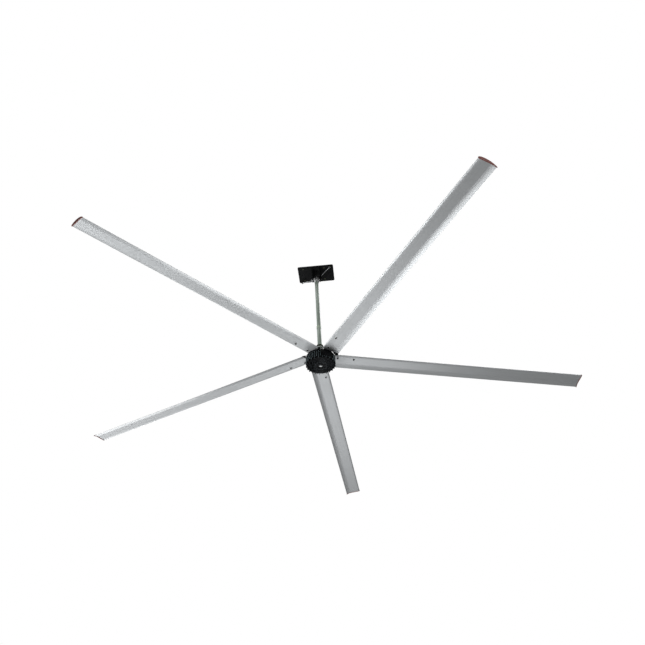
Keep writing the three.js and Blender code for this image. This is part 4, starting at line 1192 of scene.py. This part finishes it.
def root_corner():
    """A moulded corner that fills the space between the motor's rim and the blade's trailing root.

    Its sections across X follow each other back along the chord. Inwards it stops on the circle that
    clears the motor, outwards it laps over the skin, and its back end is rounded.
    """
    y = np.linspace(CORNER_FRONT, CORNER_BACK, 46)
    _, upper, lower = skins(np.minimum((y - LEADING_EDGE) / CHORD, 1))
    inner = np.maximum(np.sqrt(CORNER_INNER ** 2 - y ** 2), 150)
    outer = CORNER_OUTER + 16 * np.clip((y - 110) / 50, 0, 1) ** 2
    narrow = np.sqrt(1 - np.clip((y - 158) / 18.5, 0, 1) ** 2)
    middle, half = (inner + outer) / 2, (outer - inner) / 2 * narrow
    level, tall = (upper + lower) / 2, ((upper - lower) / 2 + CORNER_LAP) * narrow
    rows = []
    for k, back in enumerate(y):
        left, right = middle[k] - half[k], middle[k] + half[k]
        low, high = level[k] - tall[k], level[k] + tall[k]
        box = eased([(left, low), (left, high), (right, high), (right, low)], 3, 3)
        rows.append(np.insert(box, 1, back, axis=1))
    return grid(np.array(rows), ends=True)


blade_shell, blade_map = blade()
cap_shell, arm_shell, corner_shell = end_cap(), arm(), root_corner()
bolt_shell, head_shell = blade_bolt()
for number in range(1, BLADE_COUNT + 1):
    spoke = shift(z=-TIP_DROP) @ turn(FIRST_BLADE_ANGLE + (number - 1) * 360 / BLADE_COUNT)
    wing = spoke @ blade_frame
    stand_in(f"blade_{number}", moved(blade_shell, wing), blade_map)
    stand_in(f"end_cap_{number}", moved(cap_shell, wing))
    stand_in(f"blade_arm_{number}", moved(arm_shell, spoke))
    for radius, place in zip(BLADE_BOLT_RADII, ("inner", "outer")):
        at_bolt = wing @ shift(x=radius)
        stand_in(f"blade_bolt_{number}_{place}", moved(bolt_shell, at_bolt))
        # each head is drawn near-black: painted shade, for the shadow that falls beside the bolt's bright
        # washer
        head = moved(head_shell, at_bolt)
        make(f"bolt_head_{number}_{place}", head, "rotor", "zinc_steel", finish=BLACK_OXIDE_AND_SHADE)
    make(f"arm_bolts_{number}", moved(foot_bolts(), spoke), "rotor", "zinc_steel")
    make(f"root_corner_{number}", moved(corner_shell, wing), "rotor", "arm_black")

# ---- finishes on the pieces that stay
for name, node in frame["nodes"].items():
    node.data.materials.clear()
    node.data.materials.append(FINISHES[SLOT_OF[name]])

# ---- floor and light
FLOOR_LEVEL = -14.0
FLOOR_HALF = 60.0


def floor():
    """A plain pale floor. Like the room it looks bright, and lights the object only dimly."""
    square = rectangle(-FLOOR_HALF, -FLOOR_HALF, FLOOR_HALF, FLOOR_HALF)
    mesh = bpy.data.meshes.new("floor")
    mesh.from_pydata([(x, y, FLOOR_LEVEL) for x, y in square], [], [(0, 1, 2, 3)])
    finish = Finish("pale_floor", roughness=0.85, emission_strength=1.0)
    cloud = finish.noise(finish.place(), 0.4, 3.0)
    finish.feed("Base Color", finish.blend(cloud, (0.78, 0.78, 0.77), (0.82, 0.82, 0.81)))
    seen = finish.node("ShaderNodeLightPath", output="Is Camera Ray")
    finish.feed("Emission Color", finish.blend(seen, (0, 0, 0), (0.62, 0.62, 0.61)))
    mesh.materials.append(finish.material)
    plane = added("floor", mesh)


def soft_light(name, place, aim, size, power):
    """A square area light at a place, turned to face a point."""
    data = bpy.data.lights.new(name, "AREA")
    data.size = size
    data.energy = power
    light = added(name, data)
    back = unit(np.subtract(place, aim))
    side = unit(np.cross(Y if abs(back[2]) > 0.9 else Z, back))
    light.matrix_world = Matrix(basis(side, np.cross(back, side), back, place))


def white_room(glow):
    """A white world whose own light is a dim, even glow, so that the lamps shape the object."""
    world = bpy.data.worlds.new("studio")
    world.use_nodes = True
    tree = world.node_tree
    background = tree.nodes["Background"]
    background.inputs["Color"].default_value = (1, 1, 1, 1)
    path = tree.nodes.new("ShaderNodeLightPath")
    level = tree.nodes.new("ShaderNodeMapRange")
    level.inputs["To Min"].default_value = glow
    level.inputs["To Max"].default_value = 1.0
    tree.links.new(path.outputs["Is Camera Ray"], level.inputs["Value"])
    tree.links.new(level.outputs["Result"], background.inputs["Strength"])
    bpy.context.scene.world = world


HUB = (0, 0, -1.6)
ROOM_GLOW = 0.12
LAMPS = {  # place, aim, size in metres and power in watts
    "low_left": ((-7.63, 0, -6.37), HUB, 4, 460),
    "under_left": ((-3.66, 2.11, -9.55), HUB, 4, 280),
    "low_far": ((0, 7.0, -7.2), HUB, 4, 70),
    "level_far_left": ((-4.49, 7.78, -2.23), HUB, 4, 134),
    "above_left": ((-2.8, -2.8, 5.3), HUB, 5, 320),
    "above_right": ((2.8, 2.8, 5.3), HUB, 5, 320),
    "level_right": ((5.2, -3.6, -0.9), (0, 0, -0.9), 3, 120),
}

floor()
for name, lamp in LAMPS.items():
    soft_light(name, *lamp)
white_room(ROOM_GLOW)
bpy.context.scene.view_settings.view_transform = "Standard"
